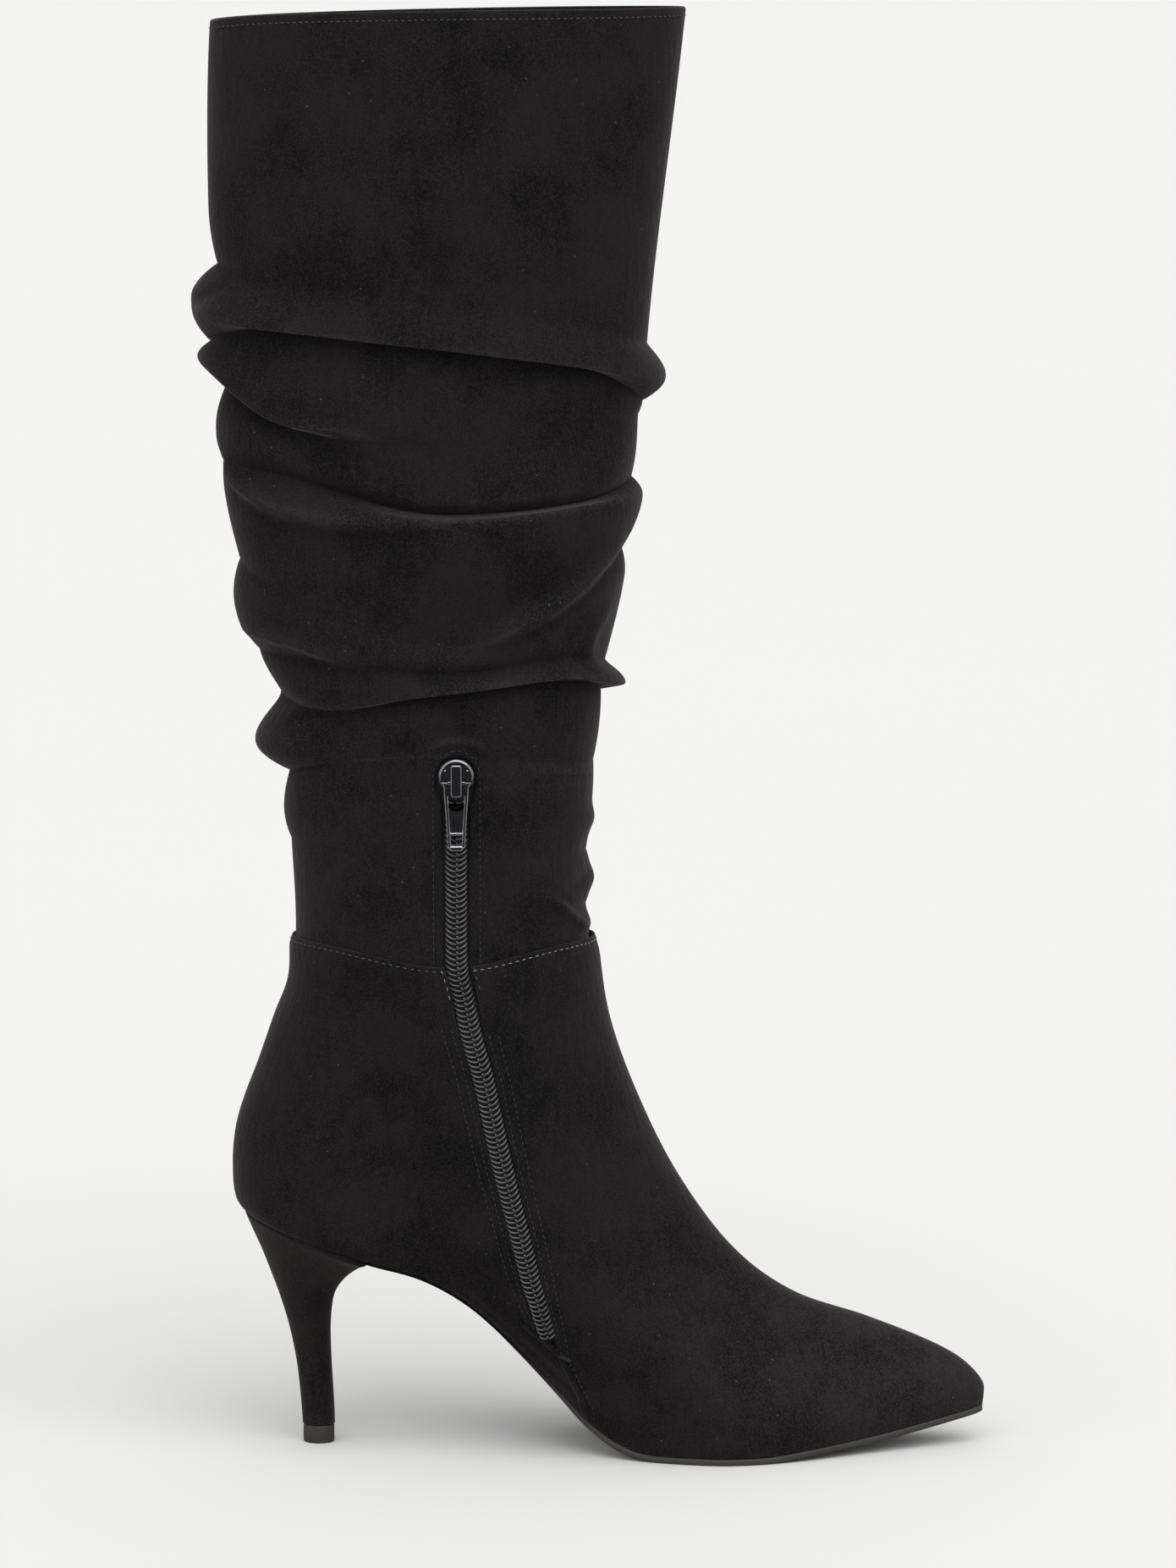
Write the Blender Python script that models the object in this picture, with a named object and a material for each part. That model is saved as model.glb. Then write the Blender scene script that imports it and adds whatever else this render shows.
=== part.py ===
"""Left slouch boot of black suede: knee-high, pointed toe, slim covered heel, half zip on its inner side.

Metres, +Z up. The origin is the centre of the heel tip's ground face, +X points to the toe and
+Y to the outer side of the leg. Azimuths are measured from the front of the leg: 0 is the front,
90 degrees the outer side, 180 the back and 270 the inner side, where the zip is.
"""

import math

import bmesh
import bpy
import numpy as np

# Driving sizes of the last and the sole
SOLE_LENGTH = 0.2470  # from the back of the seat to the toe tip, along X
SEAT_SETBACK = 0.0245  # from the heel tip's centre back to the end of the seat
BALL_WIDTH = 0.0755
SEAT_WIDTH = 0.0570
HEEL_HEIGHT = 0.0800  # floor to the back of the seat
TOE_SPRING = 0.0105  # rise of the toe tip above the ball
TOE_RADIUS = 0.0042
SEAT_RADIUS = 0.0270

# Driving sizes of the leg
ANKLE_SEAM_HEIGHT = 0.1720  # floor to the seam between foot and leg
BOOT_HEIGHT = 0.4760  # floor to the middle of the collar
LEG_AXIS = 0.0445  # how far the leg's axis stands ahead of the heel tip
ANKLE_LENGTH = 0.0981
ANKLE_WIDTH = 0.0640
COLLAR_LENGTH = 0.1552
COLLAR_WIDTH = 0.0640
FOLD_DEPTH = 0.0100  # how far the deepest fold stands out

# Walls, layers and clearances
SHAFT_WALL = 0.0016
FOOT_WALL = 0.0016
INSOLE_THICKNESS = 0.0026
INSOLE_INSET = 0.0036  # from the upper's outer edge in to the insole's edge
OUTSOLE_THICKNESS = 0.0024
OUTSOLE_EDGE_ROUND = 0.0009
HEEL_TIP_HEIGHT = 0.0060
HEEL_TIP_LENGTH = 0.0108
HEEL_TIP_WIDTH = 0.0104
BREAST_EDGE = 0.0415  # from the back of the seat to the front edge of the heel
GAP = 0.0003  # between two pieces that meet
SEAM_GAP = 0.0005  # between the leg and the foot, where one goes into the other
SOLE_INSET = 0.0004  # how far the sole and heel stand inside the upper's edge
SEAM_TUCK = 0.0080  # how far the leg goes down inside the foot

# Zip
SLOT_HALF_WIDTH = 0.0045
SLOT_HEAD_HALF_WIDTH = 0.0066  # the slot is wider round the slider
SLOT_HEAD_LENGTH = 0.0165
ZIP_TOP_HEIGHT = 0.2369  # floor to the top end of the slot
TAPE_WIDTH = 0.0260
TAPE_THICKNESS = 0.0008
TAPE_ABOVE = 0.0060  # how far the tape goes on past the slot's top end
TAPE_BELOW = 0.0050  # and past its lower end
FLAT_ROUND_ZIP = 0.0240  # the folds are pulled flat this far above the slot and beside it
CHAIN_WIDTH = 0.0072
CHAIN_THICKNESS = 0.0018
SLIDER_LENGTH = 0.0130
SLIDER_WIDTH = 0.0118
SLIDER_PLATE = 0.0014
BRIDGE_WIDTH = 0.0034
BRIDGE_RISE = 0.0031
PULL_LENGTH = 0.0225
PULL_THICKNESS = 0.0012

# Mesh counts
UPPER_COLUMNS = 44
FOOT_ROWS = 15
HEEL_COLUMNS = 28

# The seat, shank, ball and toe seen from the side, at the edge where the upper meets the sole.
# along: share of SOLE_LENGTH from the back of the seat. seat: share of the seat's height above the
# ball. spring: share of TOE_SPRING.
SOLE_LINE = (
    # along, seat, spring
    (0.000, 1.000, 0.00),
    (0.090, 0.910, 0.00),
    (0.174, 0.825, 0.00),
    (0.243, 0.752, 0.00),
    (0.311, 0.611, 0.00),
    (0.379, 0.409, 0.00),
    (0.424, 0.262, 0.00),
    (0.465, 0.128, 0.00),
    (0.509, 0.035, 0.00),
    (0.556, 0.000, 0.00),
    (0.625, 0.000, 0.00),
    (0.694, 0.000, 0.00),
    (0.767, 0.000, 0.15),
    (0.851, 0.000, 0.37),
    (0.932, 0.000, 0.69),
    (1.000, 0.000, 1.00),
)

# The sole seen from below, as half widths. Up to the waist they are shares of SEAT_WIDTH, and from
# there shares of BALL_WIDTH: seat and ball say how much of each.
SOLE_OUTLINE = (
    # along, seat share inner, seat share outer, ball share inner, ball share outer
    (0.030, 0.310, 0.310, 0.000, 0.000),
    (0.080, 0.446, 0.446, 0.000, 0.000),
    (0.145, 0.500, 0.500, 0.000, 0.000),
    (0.220, 0.465, 0.480, 0.000, 0.000),
    (0.320, 0.360, 0.420, 0.000, 0.000),
    (0.420, 0.170, 0.200, 0.170, 0.205),
    (0.520, 0.000, 0.000, 0.400, 0.440),
    (0.600, 0.000, 0.000, 0.478, 0.498),
    (0.660, 0.000, 0.000, 0.498, 0.486),
    (0.740, 0.000, 0.000, 0.432, 0.408),
    (0.840, 0.000, 0.000, 0.284, 0.268),
    (0.920, 0.000, 0.000, 0.166, 0.158),
    (0.970, 0.000, 0.000, 0.092, 0.088),
)

# Rings of the foot from the ankle seam to the sole. front_run and front_drop are shares of the way
# from the ankle's front to the toe tip, back_run and back_drop of the way from the ankle's back to
# the seat. sag: how far the ring follows the sole line. plan: how far it follows the sole's
# outline. swell: how far the wall stands out, as a share of BALL_WIDTH. fall: how far the vamp
# drops on both sides of its ridge, also as a share of BALL_WIDTH.
FOOT_RINGS = (
    # front_run, front_drop, back_run, back_drop, sag, plan, swell, fall
    (0.000, 0.000, 0.000, 0.000, 0.00, 0.00, 0.000, 0.00),
    (0.031, 0.170, 0.040, 0.152, 0.02, 0.03, 0.000, 0.00),
    (0.105, 0.341, 0.340, 0.290, 0.08, 0.09, -0.005, 0.02),
    (0.212, 0.515, 0.684, 0.457, 0.17, 0.19, -0.006, 0.06),
    (0.352, 0.668, 0.968, 0.582, 0.30, 0.33, 0.002, 0.12),
    (0.508, 0.762, 1.152, 0.685, 0.45, 0.48, 0.015, 0.16),
    (0.700, 0.816, 1.234, 0.788, 0.62, 0.63, 0.028, 0.12),
    (0.862, 0.869, 1.240, 0.875, 0.78, 0.77, 0.036, 0.05),
    (0.954, 0.913, 1.196, 0.946, 0.90, 0.88, 0.034, 0.00),
    (1.003, 0.967, 1.108, 0.980, 0.96, 0.95, 0.019, 0.00),
    (1.000, 1.000, 1.000, 1.000, 1.00, 1.00, 0.000, 0.00),
)
SEAM_DIP_INNER = 0.0060  # how far the ankle seam dips at the zip
SEAM_DIP_OUTER = 0.0040  # and on the outer side

# The zip's line down the foot. lean: degrees ahead of the inner side, at each ring.
ZIP_LINE = (
    # ring, lean
    (1.10, 6.0),
    (2.00, 8.1),
    (3.00, 7.9),
    (4.00, 6.0),
    (5.00, 2.3),
    (6.00, -2.6),
    (6.90, -6.0),
)
ZIP_LEG_LEAN = 3.3  # the same for the leg
ZIP_SEAM_LEAN = 2.2  # and what is added to it on the way under the foot

# Creases of the leg from the collar down, each a closed line round the leg. Heights are shares of
# the leg's height above the ankle seam. back, side and front are shares of the leg's half length
# or half width at that height.
CREASES = (
    # name, height back, inner, front, outer, reach back, side, front
    ("collar", 0.993, 1.007, 1.007, 1.000, 1.000, 1.000, 1.000),
    ("shoulder", 0.734, 0.704, 0.648, 0.690, 1.099, 1.070, 0.945),
    ("overhang", 0.650, 0.636, 0.586, 0.618, 1.166, 1.070, 0.951),
    ("rear_fold", 0.602, 0.562, 0.571, 0.566, 1.101, 1.060, 0.949),
    ("front_lip", 0.523, 0.468, 0.503, 0.482, 1.172, 1.080, 0.948),
    ("shin", 0.414, 0.338, 0.426, 0.366, 1.148, 1.090, 0.945),
    ("calf_slope", 0.316, 0.302, 0.304, 0.300, 1.085, 1.070, 0.888),
    ("low_lip", 0.271, 0.280, 0.271, 0.256, 0.982, 1.060, 0.880),
    ("rear_roll", 0.183, 0.210, 0.194, 0.205, 0.967, 1.030, 0.867),
    ("ankle_ripple", 0.109, 0.105, 0.095, 0.108, 1.010, 1.010, 0.865),
    ("ankle", 0.036, 0.036, 0.036, 0.036, 1.026, 1.000, 0.896),
    ("tuck", 0.000, 0.000, 0.000, 0.000, 1.046, 1.000, 0.954),
)

# The fold of cloth between each crease and the next one down. bulge: share of FOLD_DEPTH. crest:
# where the fold stands out most, from 0 at its upper crease to 1 at its lower one. steps: mesh rows.
FOLDS = (
    # bulge back, inner, front, outer, crest back, side, front, steps
    (0.27, 0.05, 0.04, 0.05, 0.76, 0.60, 0.50, 3),
    (0.80, 0.45, 0.70, 0.40, 0.42, 0.84, 0.54, 4),
    (0.76, 0.10, 0.00, 0.20, 0.60, 0.50, 0.50, 4),
    (0.34, 0.08, 0.00, 0.10, 0.50, 0.50, 0.50, 3),
    (0.03, 0.40, 0.46, 0.32, 0.30, 0.14, 0.30, 4),
    (0.42, 0.15, 0.23, 0.20, 0.50, 0.60, 0.26, 3),
    (0.08, 0.28, 0.78, 0.30, 0.50, 0.70, 0.70, 4),
    (1.12, 0.06, 0.08, 0.12, 0.58, 0.50, 0.50, 4),
    (0.24, 0.00, 0.13, 0.04, 0.52, 0.50, 0.40, 2),
    (0.00, 0.00, 0.21, 0.00, 0.50, 0.50, 0.50, 2),
    (0.00, 0.00, 0.00, 0.00, 0.50, 0.50, 0.50, 1),
)

# Rings of the heel from its tip to the seat. back and front are shares of the way out to the seat's
# ends, rise_back and rise_front of the way up to them, width of the way out to the seat's width.
# round says how far the ring has the seat's outline.
HEEL_RINGS = (
    # back, front, rise_back, rise_front, width, round
    (0.000, 0.000, 0.000, 0.000, 0.000, 0.00),
    (0.028, -0.022, 0.105, 0.133, 0.004, 0.00),
    (0.100, -0.086, 0.280, 0.358, 0.030, 0.05),
    (0.225, -0.112, 0.445, 0.541, 0.095, 0.15),
    (0.385, -0.069, 0.588, 0.680, 0.210, 0.30),
    (0.545, 0.052, 0.704, 0.793, 0.375, 0.48),
    (0.705, 0.353, 0.813, 0.889, 0.570, 0.66),
    (0.870, 0.732, 0.912, 0.962, 0.780, 0.84),
    (0.985, 1.000, 0.985, 1.000, 0.960, 1.00),
)


def smooth(places, values, at):
    """Cubic curve through values at rising places, with even tangents, read at the given places."""
    places, values, at = (np.asarray(a, float) for a in (places, values, at))
    steps = np.diff(places)
    slopes = np.diff(values) / steps
    tangents = np.empty_like(values)
    tangents[0], tangents[-1] = slopes[0], slopes[-1]
    tangents[1:-1] = (slopes[:-1] * steps[1:] + slopes[1:] * steps[:-1]) / (steps[:-1] + steps[1:])
    # A tangent never carries the curve past a flat or turning stretch.
    flat = slopes[:-1] * slopes[1:] <= 0
    tangents[1:-1][flat] = 0.0
    cell = np.clip(np.searchsorted(places, at) - 1, 0, len(steps) - 1)
    t = (at - places[cell]) / steps[cell]
    t = np.clip(t, 0.0, 1.0)
    low, high = values[cell], values[cell + 1]
    a, b = tangents[cell] * steps[cell], tangents[cell + 1] * steps[cell]
    return (
        low * (1 + 2 * t) * (1 - t) ** 2
        + a * t * (1 - t) ** 2
        + high * t**2 * (3 - 2 * t)
        - b * t**2 * (1 - t)
    )


def column(table, name_columns, index):
    """One column of a table, whose rows may start with a name."""
    return np.array([row[name_columns + index] for row in table], float)


def around(back, inner, front, outer, azimuth):
    """A value that is given on four sides of the leg, at any azimuth."""
    c, s = math.cos(azimuth), math.sin(azimuth)
    along = front if c > 0 else back
    across = outer if s > 0 else inner
    return along * c * c + across * s * s


# The sole line and outline, which every piece of the foot follows

SEAT_BACK_X = -SEAT_SETBACK
TOE_X = SEAT_BACK_X + SOLE_LENGTH
BALL_LEVEL = OUTSOLE_THICKNESS + GAP  # the upper's edge above the floor, at the ball
MIDDLE_X = (SEAT_BACK_X + TOE_X) / 2


def edge_height(x):
    """Height of the upper's lower edge at x."""
    along = (np.asarray(x, float) - SEAT_BACK_X) / SOLE_LENGTH
    places = column(SOLE_LINE, 0, 0)
    seat = smooth(places, column(SOLE_LINE, 0, 1), along) * (HEEL_HEIGHT - BALL_LEVEL)
    spring = smooth(places, column(SOLE_LINE, 0, 2), along) * TOE_SPRING
    return BALL_LEVEL + seat + spring


def edge_slope(x):
    """Slope of that edge at x."""
    step = 0.0005
    return (edge_height(x + step) - edge_height(x - step)) / (2 * step)


def edge_half_width(azimuth):
    """Half width of the upper's lower edge at an azimuth round the sole, on the side it lies on."""
    side = 2 if math.sin(azimuth) > 0 else 1
    along = column(SOLE_OUTLINE, 0, 0)
    widths = column(SOLE_OUTLINE, 0, side) * SEAT_WIDTH
    widths = widths + column(SOLE_OUTLINE, 0, side + 2) * BALL_WIDTH
    # Divided by the sine, the outline has no steep ends and can be read smoothly.
    angles = np.arccos(2 * along - 1)
    shares = widths / np.sin(angles)
    toe, seat = (math.sqrt(r * SOLE_LENGTH / 2) for r in (TOE_RADIUS, SEAT_RADIUS))
    angles = np.concatenate([[0.0], angles[::-1], [math.pi]])
    shares = np.concatenate([[toe], shares[::-1], [seat]])
    turned = math.acos(max(-1.0, min(1.0, math.cos(azimuth))))
    return float(smooth(angles, shares, turned)) * abs(math.sin(azimuth))


def edge_x(azimuth):
    return MIDDLE_X + SOLE_LENGTH / 2 * math.cos(azimuth)


def azimuth_at(x):
    """The outer azimuth at which the sole's edge passes x."""
    return math.acos(max(-1.0, min(1.0, (x - MIDDLE_X) / (SOLE_LENGTH / 2))))


# The foot's surface

ANKLE_BACK, ANKLE_FRONT = (
    ANKLE_LENGTH / 2 * share + SEAM_GAP + FOOT_WALL for share in (CREASES[-1][5], CREASES[-1][7])
)
ANKLE_SIDE = ANKLE_WIDTH / 2 * CREASES[-1][6] + SEAM_GAP + FOOT_WALL
LAST_RING = len(FOOT_RINGS) - 1


def seam_dip(azimuth):
    """How far the ankle seam dips: a blunt V at the zip, a wide curve on the outer side."""
    s = math.sin(azimuth)
    return SEAM_DIP_OUTER * s**2 if s > 0 else SEAM_DIP_INNER * s**6


def foot_point(azimuth, ring):
    """A point of the foot's outer face. ring runs from 0 at the ankle seam to LAST_RING at the sole."""
    rings = np.arange(len(FOOT_RINGS))
    front_run, front_drop, back_run, back_drop, sag, plan, swell, fall = (
        float(smooth(rings, column(FOOT_RINGS, 0, i), ring)) for i in range(8)
    )
    ankle_front, ankle_back = LEG_AXIS + ANKLE_FRONT, LEG_AXIS - ANKLE_BACK
    toe_z, seat_z = float(edge_height(TOE_X)), float(edge_height(SEAT_BACK_X))
    front_x = ankle_front + (TOE_X - ankle_front) * front_run
    front_z = ANKLE_SEAM_HEIGHT + (toe_z - ANKLE_SEAM_HEIGHT) * front_drop
    back_x = ankle_back + (SEAT_BACK_X - ankle_back) * back_run
    back_z = ANKLE_SEAM_HEIGHT + (seat_z - ANKLE_SEAM_HEIGHT) * back_drop
    # The widest place of a ring moves from the leg's axis to the middle of the sole.
    leg_share = ANKLE_BACK / (ANKLE_BACK + ANKLE_FRONT)
    share = leg_share + (0.5 - leg_share) * ring / LAST_RING
    widest_x = back_x + (front_x - back_x) * share
    c, s = math.cos(azimuth), math.sin(azimuth)
    x = widest_x + (front_x - widest_x if c > 0 else widest_x - back_x) * c
    # Seen from the side a ring is a chord, bent down towards the sole line.
    level = back_z + (front_z - back_z) * (x - back_x) / (front_x - back_x)
    sole_x = edge_x(azimuth)
    chord = seat_z + (toe_z - seat_z) * (sole_x - SEAT_BACK_X) / SOLE_LENGTH
    bend = (float(edge_height(sole_x)) - chord) * sag
    dip = seam_dip(azimuth) * max(0.0, 1 - ring / 3) ** 2
    across = ANKLE_SIDE * abs(s) * (1 - plan) + edge_half_width(azimuth) * plan
    across += swell * BALL_WIDTH * abs(s)
    drop = dip + fall * BALL_WIDTH * max(0.0, c) * s * s
    return np.array([x, math.copysign(across, s), level + bend - drop])


# The leg's surface

INNER_SIDE = -math.pi / 2
LEG_HEIGHT = BOOT_HEIGHT - ANKLE_SEAM_HEIGHT
LAST_CREASE = len(CREASES) - 1


def leg_length_at(share):
    share = np.clip(share, 0.0, 1.0)
    return ANKLE_LENGTH / 2 + (COLLAR_LENGTH - ANKLE_LENGTH) / 2 * share


def leg_width_at(share):
    share = np.clip(share, 0.0, 1.0)
    return ANKLE_WIDTH / 2 + (COLLAR_WIDTH - ANKLE_WIDTH) / 2 * share


def crease_heights(azimuth):
    """Heights of all the creases at an azimuth, from the collar down to the tucked edge."""
    shares = np.array([around(*row[1:5], azimuth) for row in CREASES])
    heights = ANKLE_SEAM_HEIGHT + shares * LEG_HEIGHT
    heights[-1] = ANKLE_SEAM_HEIGHT - seam_dip(azimuth) - SEAM_TUCK
    return heights


def fold_power(crest):
    """The warp that puts a fold's crest where it belongs, and whether it counts from below."""
    from_below = crest < 0.5
    share = 1 - crest if from_below else crest
    return math.log(0.5) / math.log(share), from_below


def fold_place(warped, crest):
    """Share of the way down a fold at which its warped place is reached."""
    power, from_below = fold_power(crest)
    if from_below:
        return 1 - (1 - warped) ** (1 / power)
    return warped ** (1 / power)


def fold_crest(fold, azimuth):
    row = FOLDS[fold]
    return around(row[4], row[5], row[6], row[5], azimuth)


def leg_normal(azimuth):
    """Level direction out of the leg's wall."""
    length = (ANKLE_LENGTH + COLLAR_LENGTH) / 4
    width = (ANKLE_WIDTH + COLLAR_WIDTH) / 4
    n = np.array([math.cos(azimuth) / length, math.sin(azimuth) / width])
    return n / np.linalg.norm(n)


def leg_outline(azimuth, z):
    """x and y of the leg's outer face at an azimuth and at heights z, which is an array."""
    heights = crease_heights(azimuth)
    c, s = math.cos(azimuth), math.sin(azimuth)
    levels = np.array([sum(row[1:5]) / 4 for row in CREASES])
    reach = column(CREASES, 1, 6 if c > 0 else 4) * leg_length_at(levels)
    side = column(CREASES, 1, 5) * leg_width_at(levels)
    run = smooth(heights[::-1], reach[::-1], z) * c
    across = smooth(heights[::-1], side[::-1], z) * s
    out = np.zeros_like(z)
    for fold, row in enumerate(FOLDS):
        top, foot = heights[fold], heights[fold + 1]
        t = np.clip((top - z) / (top - foot), 0.0, 1.0)
        power, from_below = fold_power(fold_crest(fold, azimuth))
        warped = 1 - (1 - t) ** power if from_below else t**power
        out += around(*row[:4], azimuth) * FOLD_DEPTH * np.sin(math.pi * warped)
    # The zip pulls the folds flat round its top end.
    above = np.clip((z - ZIP_TOP_HEIGHT) / FLAT_ROUND_ZIP, 0.0, 1.0)
    beside = abs(s - math.sin(INNER_SIDE)) * ANKLE_LENGTH / FLAT_ROUND_ZIP
    out *= 1 - (1 - above**2 * (3 - 2 * above)) * math.exp(-(beside**2))
    n = leg_normal(azimuth)
    return LEG_AXIS + run + out * n[0], across + out * n[1]


def leg_column(azimuth):
    """Points down the leg's outer and inner faces. The wall is never thinner than SHAFT_WALL."""
    heights = crease_heights(azimuth)
    z = [heights[0]]
    for fold, row in enumerate(FOLDS):
        crest = fold_crest(fold, azimuth)
        for step in range(1, row[7] + 1):
            place = fold_place(step / row[7], crest)
            z.append(heights[fold] + (heights[fold + 1] - heights[fold]) * place)
    z = np.array(z)
    x, y = leg_outline(azimuth, z)
    n = leg_normal(azimuth)
    inward = np.zeros_like(z)
    for lift in np.linspace(-1, 1, 9):
        near_x, near_y = leg_outline(azimuth, np.clip(z + lift * SHAFT_WALL, z[-1], z[0]))
        nearer = (x - near_x) * n[0] + (y - near_y) * n[1]
        inward = np.maximum(inward, nearer + SHAFT_WALL * math.sqrt(1 - lift * lift))
    outer = np.stack([x, y, z], 1)
    inner = np.stack([x - inward * n[0], y - inward * n[1], z], 1)
    return outer, inner


# Mesh helpers


def clear_scene():
    for obj in list(bpy.data.objects):
        bpy.data.objects.remove(obj)


def material(name, colour, roughness, metallic=0.0):
    """A Principled material of one colour."""
    made = bpy.data.materials.new(name)
    made.use_nodes = True
    shader = made.node_tree.nodes["Principled BSDF"]
    shader.inputs["Base Color"].default_value = (*colour, 1.0)
    shader.inputs["Roughness"].default_value = roughness
    shader.inputs["Metallic"].default_value = metallic
    made.diffuse_color = (*colour, 1.0)
    return made


def object_of(name, bm, finish):
    """Turns a bmesh into a named object with outward faces and smooth shading."""
    bmesh.ops.recalc_face_normals(bm, faces=bm.faces)
    mesh = bpy.data.meshes.new(name)
    bm.to_mesh(mesh)
    bm.free()
    mesh.materials.append(finish)
    mesh.shade_smooth()
    mesh.set_sharp_from_angle(angle=math.radians(40))
    obj = bpy.data.objects.new(name, mesh)
    bpy.context.scene.collection.objects.link(obj)
    return obj


def ring_of(bm, points):
    return [bm.verts.new(tuple(p)) for p in points]


def bridge(bm, first, second, closed=True):
    """Quads between two rings of the same count."""
    count = len(first)
    for i in range(count if closed else count - 1):
        j = (i + 1) % count
        bm.faces.new((first[i], first[j], second[j], second[i]))


def shell_of(outer, inner):
    """A thick open tube from two grids of points, each [row][column], joined at both rims."""
    bm = bmesh.new()
    outer = [ring_of(bm, row) for row in outer]
    inner = [ring_of(bm, row) for row in inner]
    loop = outer + inner[::-1]
    for first, second in zip(loop, loop[1:] + loop[:1]):
        bridge(bm, first, second)
    return bm


def loft_of(sections):
    """A closed solid from rings of the same count, with flat ends."""
    bm = bmesh.new()
    rings = [ring_of(bm, section) for section in sections]
    for first, second in zip(rings, rings[1:]):
        bridge(bm, first, second)
    bm.faces.new(rings[0][::-1])
    bm.faces.new(rings[-1])
    return bm


def cut(obj, cutter):
    modifier = obj.modifiers.new("slot", "BOOLEAN")
    modifier.operation = "DIFFERENCE"
    modifier.solver = "EXACT"
    modifier.object = cutter


# The upper: the foot and the leg


def foot_rows():
    """Ring places of the foot's mesh, closest at the sole, where the wall turns in."""
    return np.concatenate([np.linspace(0, LAST_RING - 1, FOOT_ROWS), [LAST_RING - 0.5, LAST_RING]])


def inward_grid(points, wall):
    """A closed grid of points moved into the shell, square to its faces and level at both rims."""
    down = np.gradient(points, axis=0)
    along = np.roll(points, -1, 1) - np.roll(points, 1, 1)
    normal = np.cross(along, down)
    normal /= np.linalg.norm(normal, axis=2, keepdims=True)
    for rim in (0, -1):
        normal[rim, :, 2] = 0.0
        normal[rim] /= np.linalg.norm(normal[rim], axis=1, keepdims=True)
    centre = points.mean(axis=1, keepdims=True)
    if (normal * (centre - points)).sum() < 0:
        normal = -normal
    return points + normal * wall


def make_foot(finish):
    turns = np.arange(UPPER_COLUMNS) * 2 * math.pi / UPPER_COLUMNS
    outer = np.array([[foot_point(a, ring) for a in turns] for ring in foot_rows()])
    return object_of("foot_upper", shell_of(outer, inward_grid(outer, FOOT_WALL)), finish)


def make_shaft(finish):
    columns = [leg_column(i * 2 * math.pi / UPPER_COLUMNS) for i in range(UPPER_COLUMNS)]
    outer = np.array([c[0] for c in columns]).transpose(1, 0, 2)
    inner = np.array([c[1] for c in columns]).transpose(1, 0, 2)
    return object_of("shaft", shell_of(outer, inner), finish)


# The bottom: insole, outsole, heel and tip


def sole_stations(start, end):
    """Outer azimuths of cross sections of the sole: start, end and the upper's columns between them."""
    step = 2 * math.pi / UPPER_COLUMNS
    columns = np.arange(1, UPPER_COLUMNS // 2) * step
    between = columns[(columns > start + 0.03) & (columns < end - 0.03)]
    return np.concatenate([[start], between, [end]])


def make_insole(finish):
    """A thin board inside the upper, from the seat to the toe."""
    toe, seat = azimuth_at(TOE_X - INSOLE_INSET), azimuth_at(SEAT_BACK_X + INSOLE_INSET)
    bm = bmesh.new()
    strips = []
    for turned in sole_stations(toe, seat):
        x = edge_x(turned)
        level = float(edge_height(x))
        half = max(edge_half_width(turned) - INSOLE_INSET, 0.0)
        inner = max(edge_half_width(-turned) - INSOLE_INSET, 0.0)
        ends = [0.0] if turned in (toe, seat) else [half, -inner]
        strips.append([[bm.verts.new((x, y, level + z)) for y in ends] for z in (0, INSOLE_THICKNESS)])
    join_strips(bm, strips)
    return object_of("insole", bm, finish)


def join_strips(bm, strips):
    """Closes a row of cross sections, each (low points, high points), into one solid."""
    for (low_a, high_a), (low_b, high_b) in zip(strips, strips[1:]):
        for a, b in ((low_a, low_b), (high_a, high_b)):
            corners = a + b[::-1]
            bm.faces.new(corners)
        for end in (0, -1):
            corners = [low_a[end], low_b[end], high_b[end], high_a[end]]
            bm.faces.new(corners)
    for low, high in (strips[0], strips[-1]):
        if len(low) > 1:
            bm.faces.new(low + high[::-1])


def sole_section(x, outer, inner):
    """One cross section of the outsole: a flat top, and a bottom whose edges are rounded."""
    top = float(edge_height(x)) - GAP
    lean = math.sqrt(1 + float(edge_slope(x)) ** 2)
    low = top - OUTSOLE_THICKNESS * lean
    soft = OUTSOLE_EDGE_ROUND
    return [
        (x, outer, top),
        (x, outer, low + soft),
        (x, outer - soft, low),
        (x, outer / 3, low),
        (x, -inner / 3, low),
        (x, soft - inner, low),
        (x, -inner, low + soft),
        (x, -inner, top),
    ]


def make_outsole(finish):
    """A thin sole from the heel's breast over the shank to the toe, flat on the floor at the ball."""
    sections = []
    for turned in sole_stations(0.05, azimuth_at(SEAT_BACK_X + BREAST_EDGE + GAP)):
        x = edge_x(turned)
        outer, inner = (edge_half_width(a) - SOLE_INSET for a in (turned, -turned))
        sections.append(sole_section(x, outer, inner))
    return object_of("outsole", loft_of(sections), finish)


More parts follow.
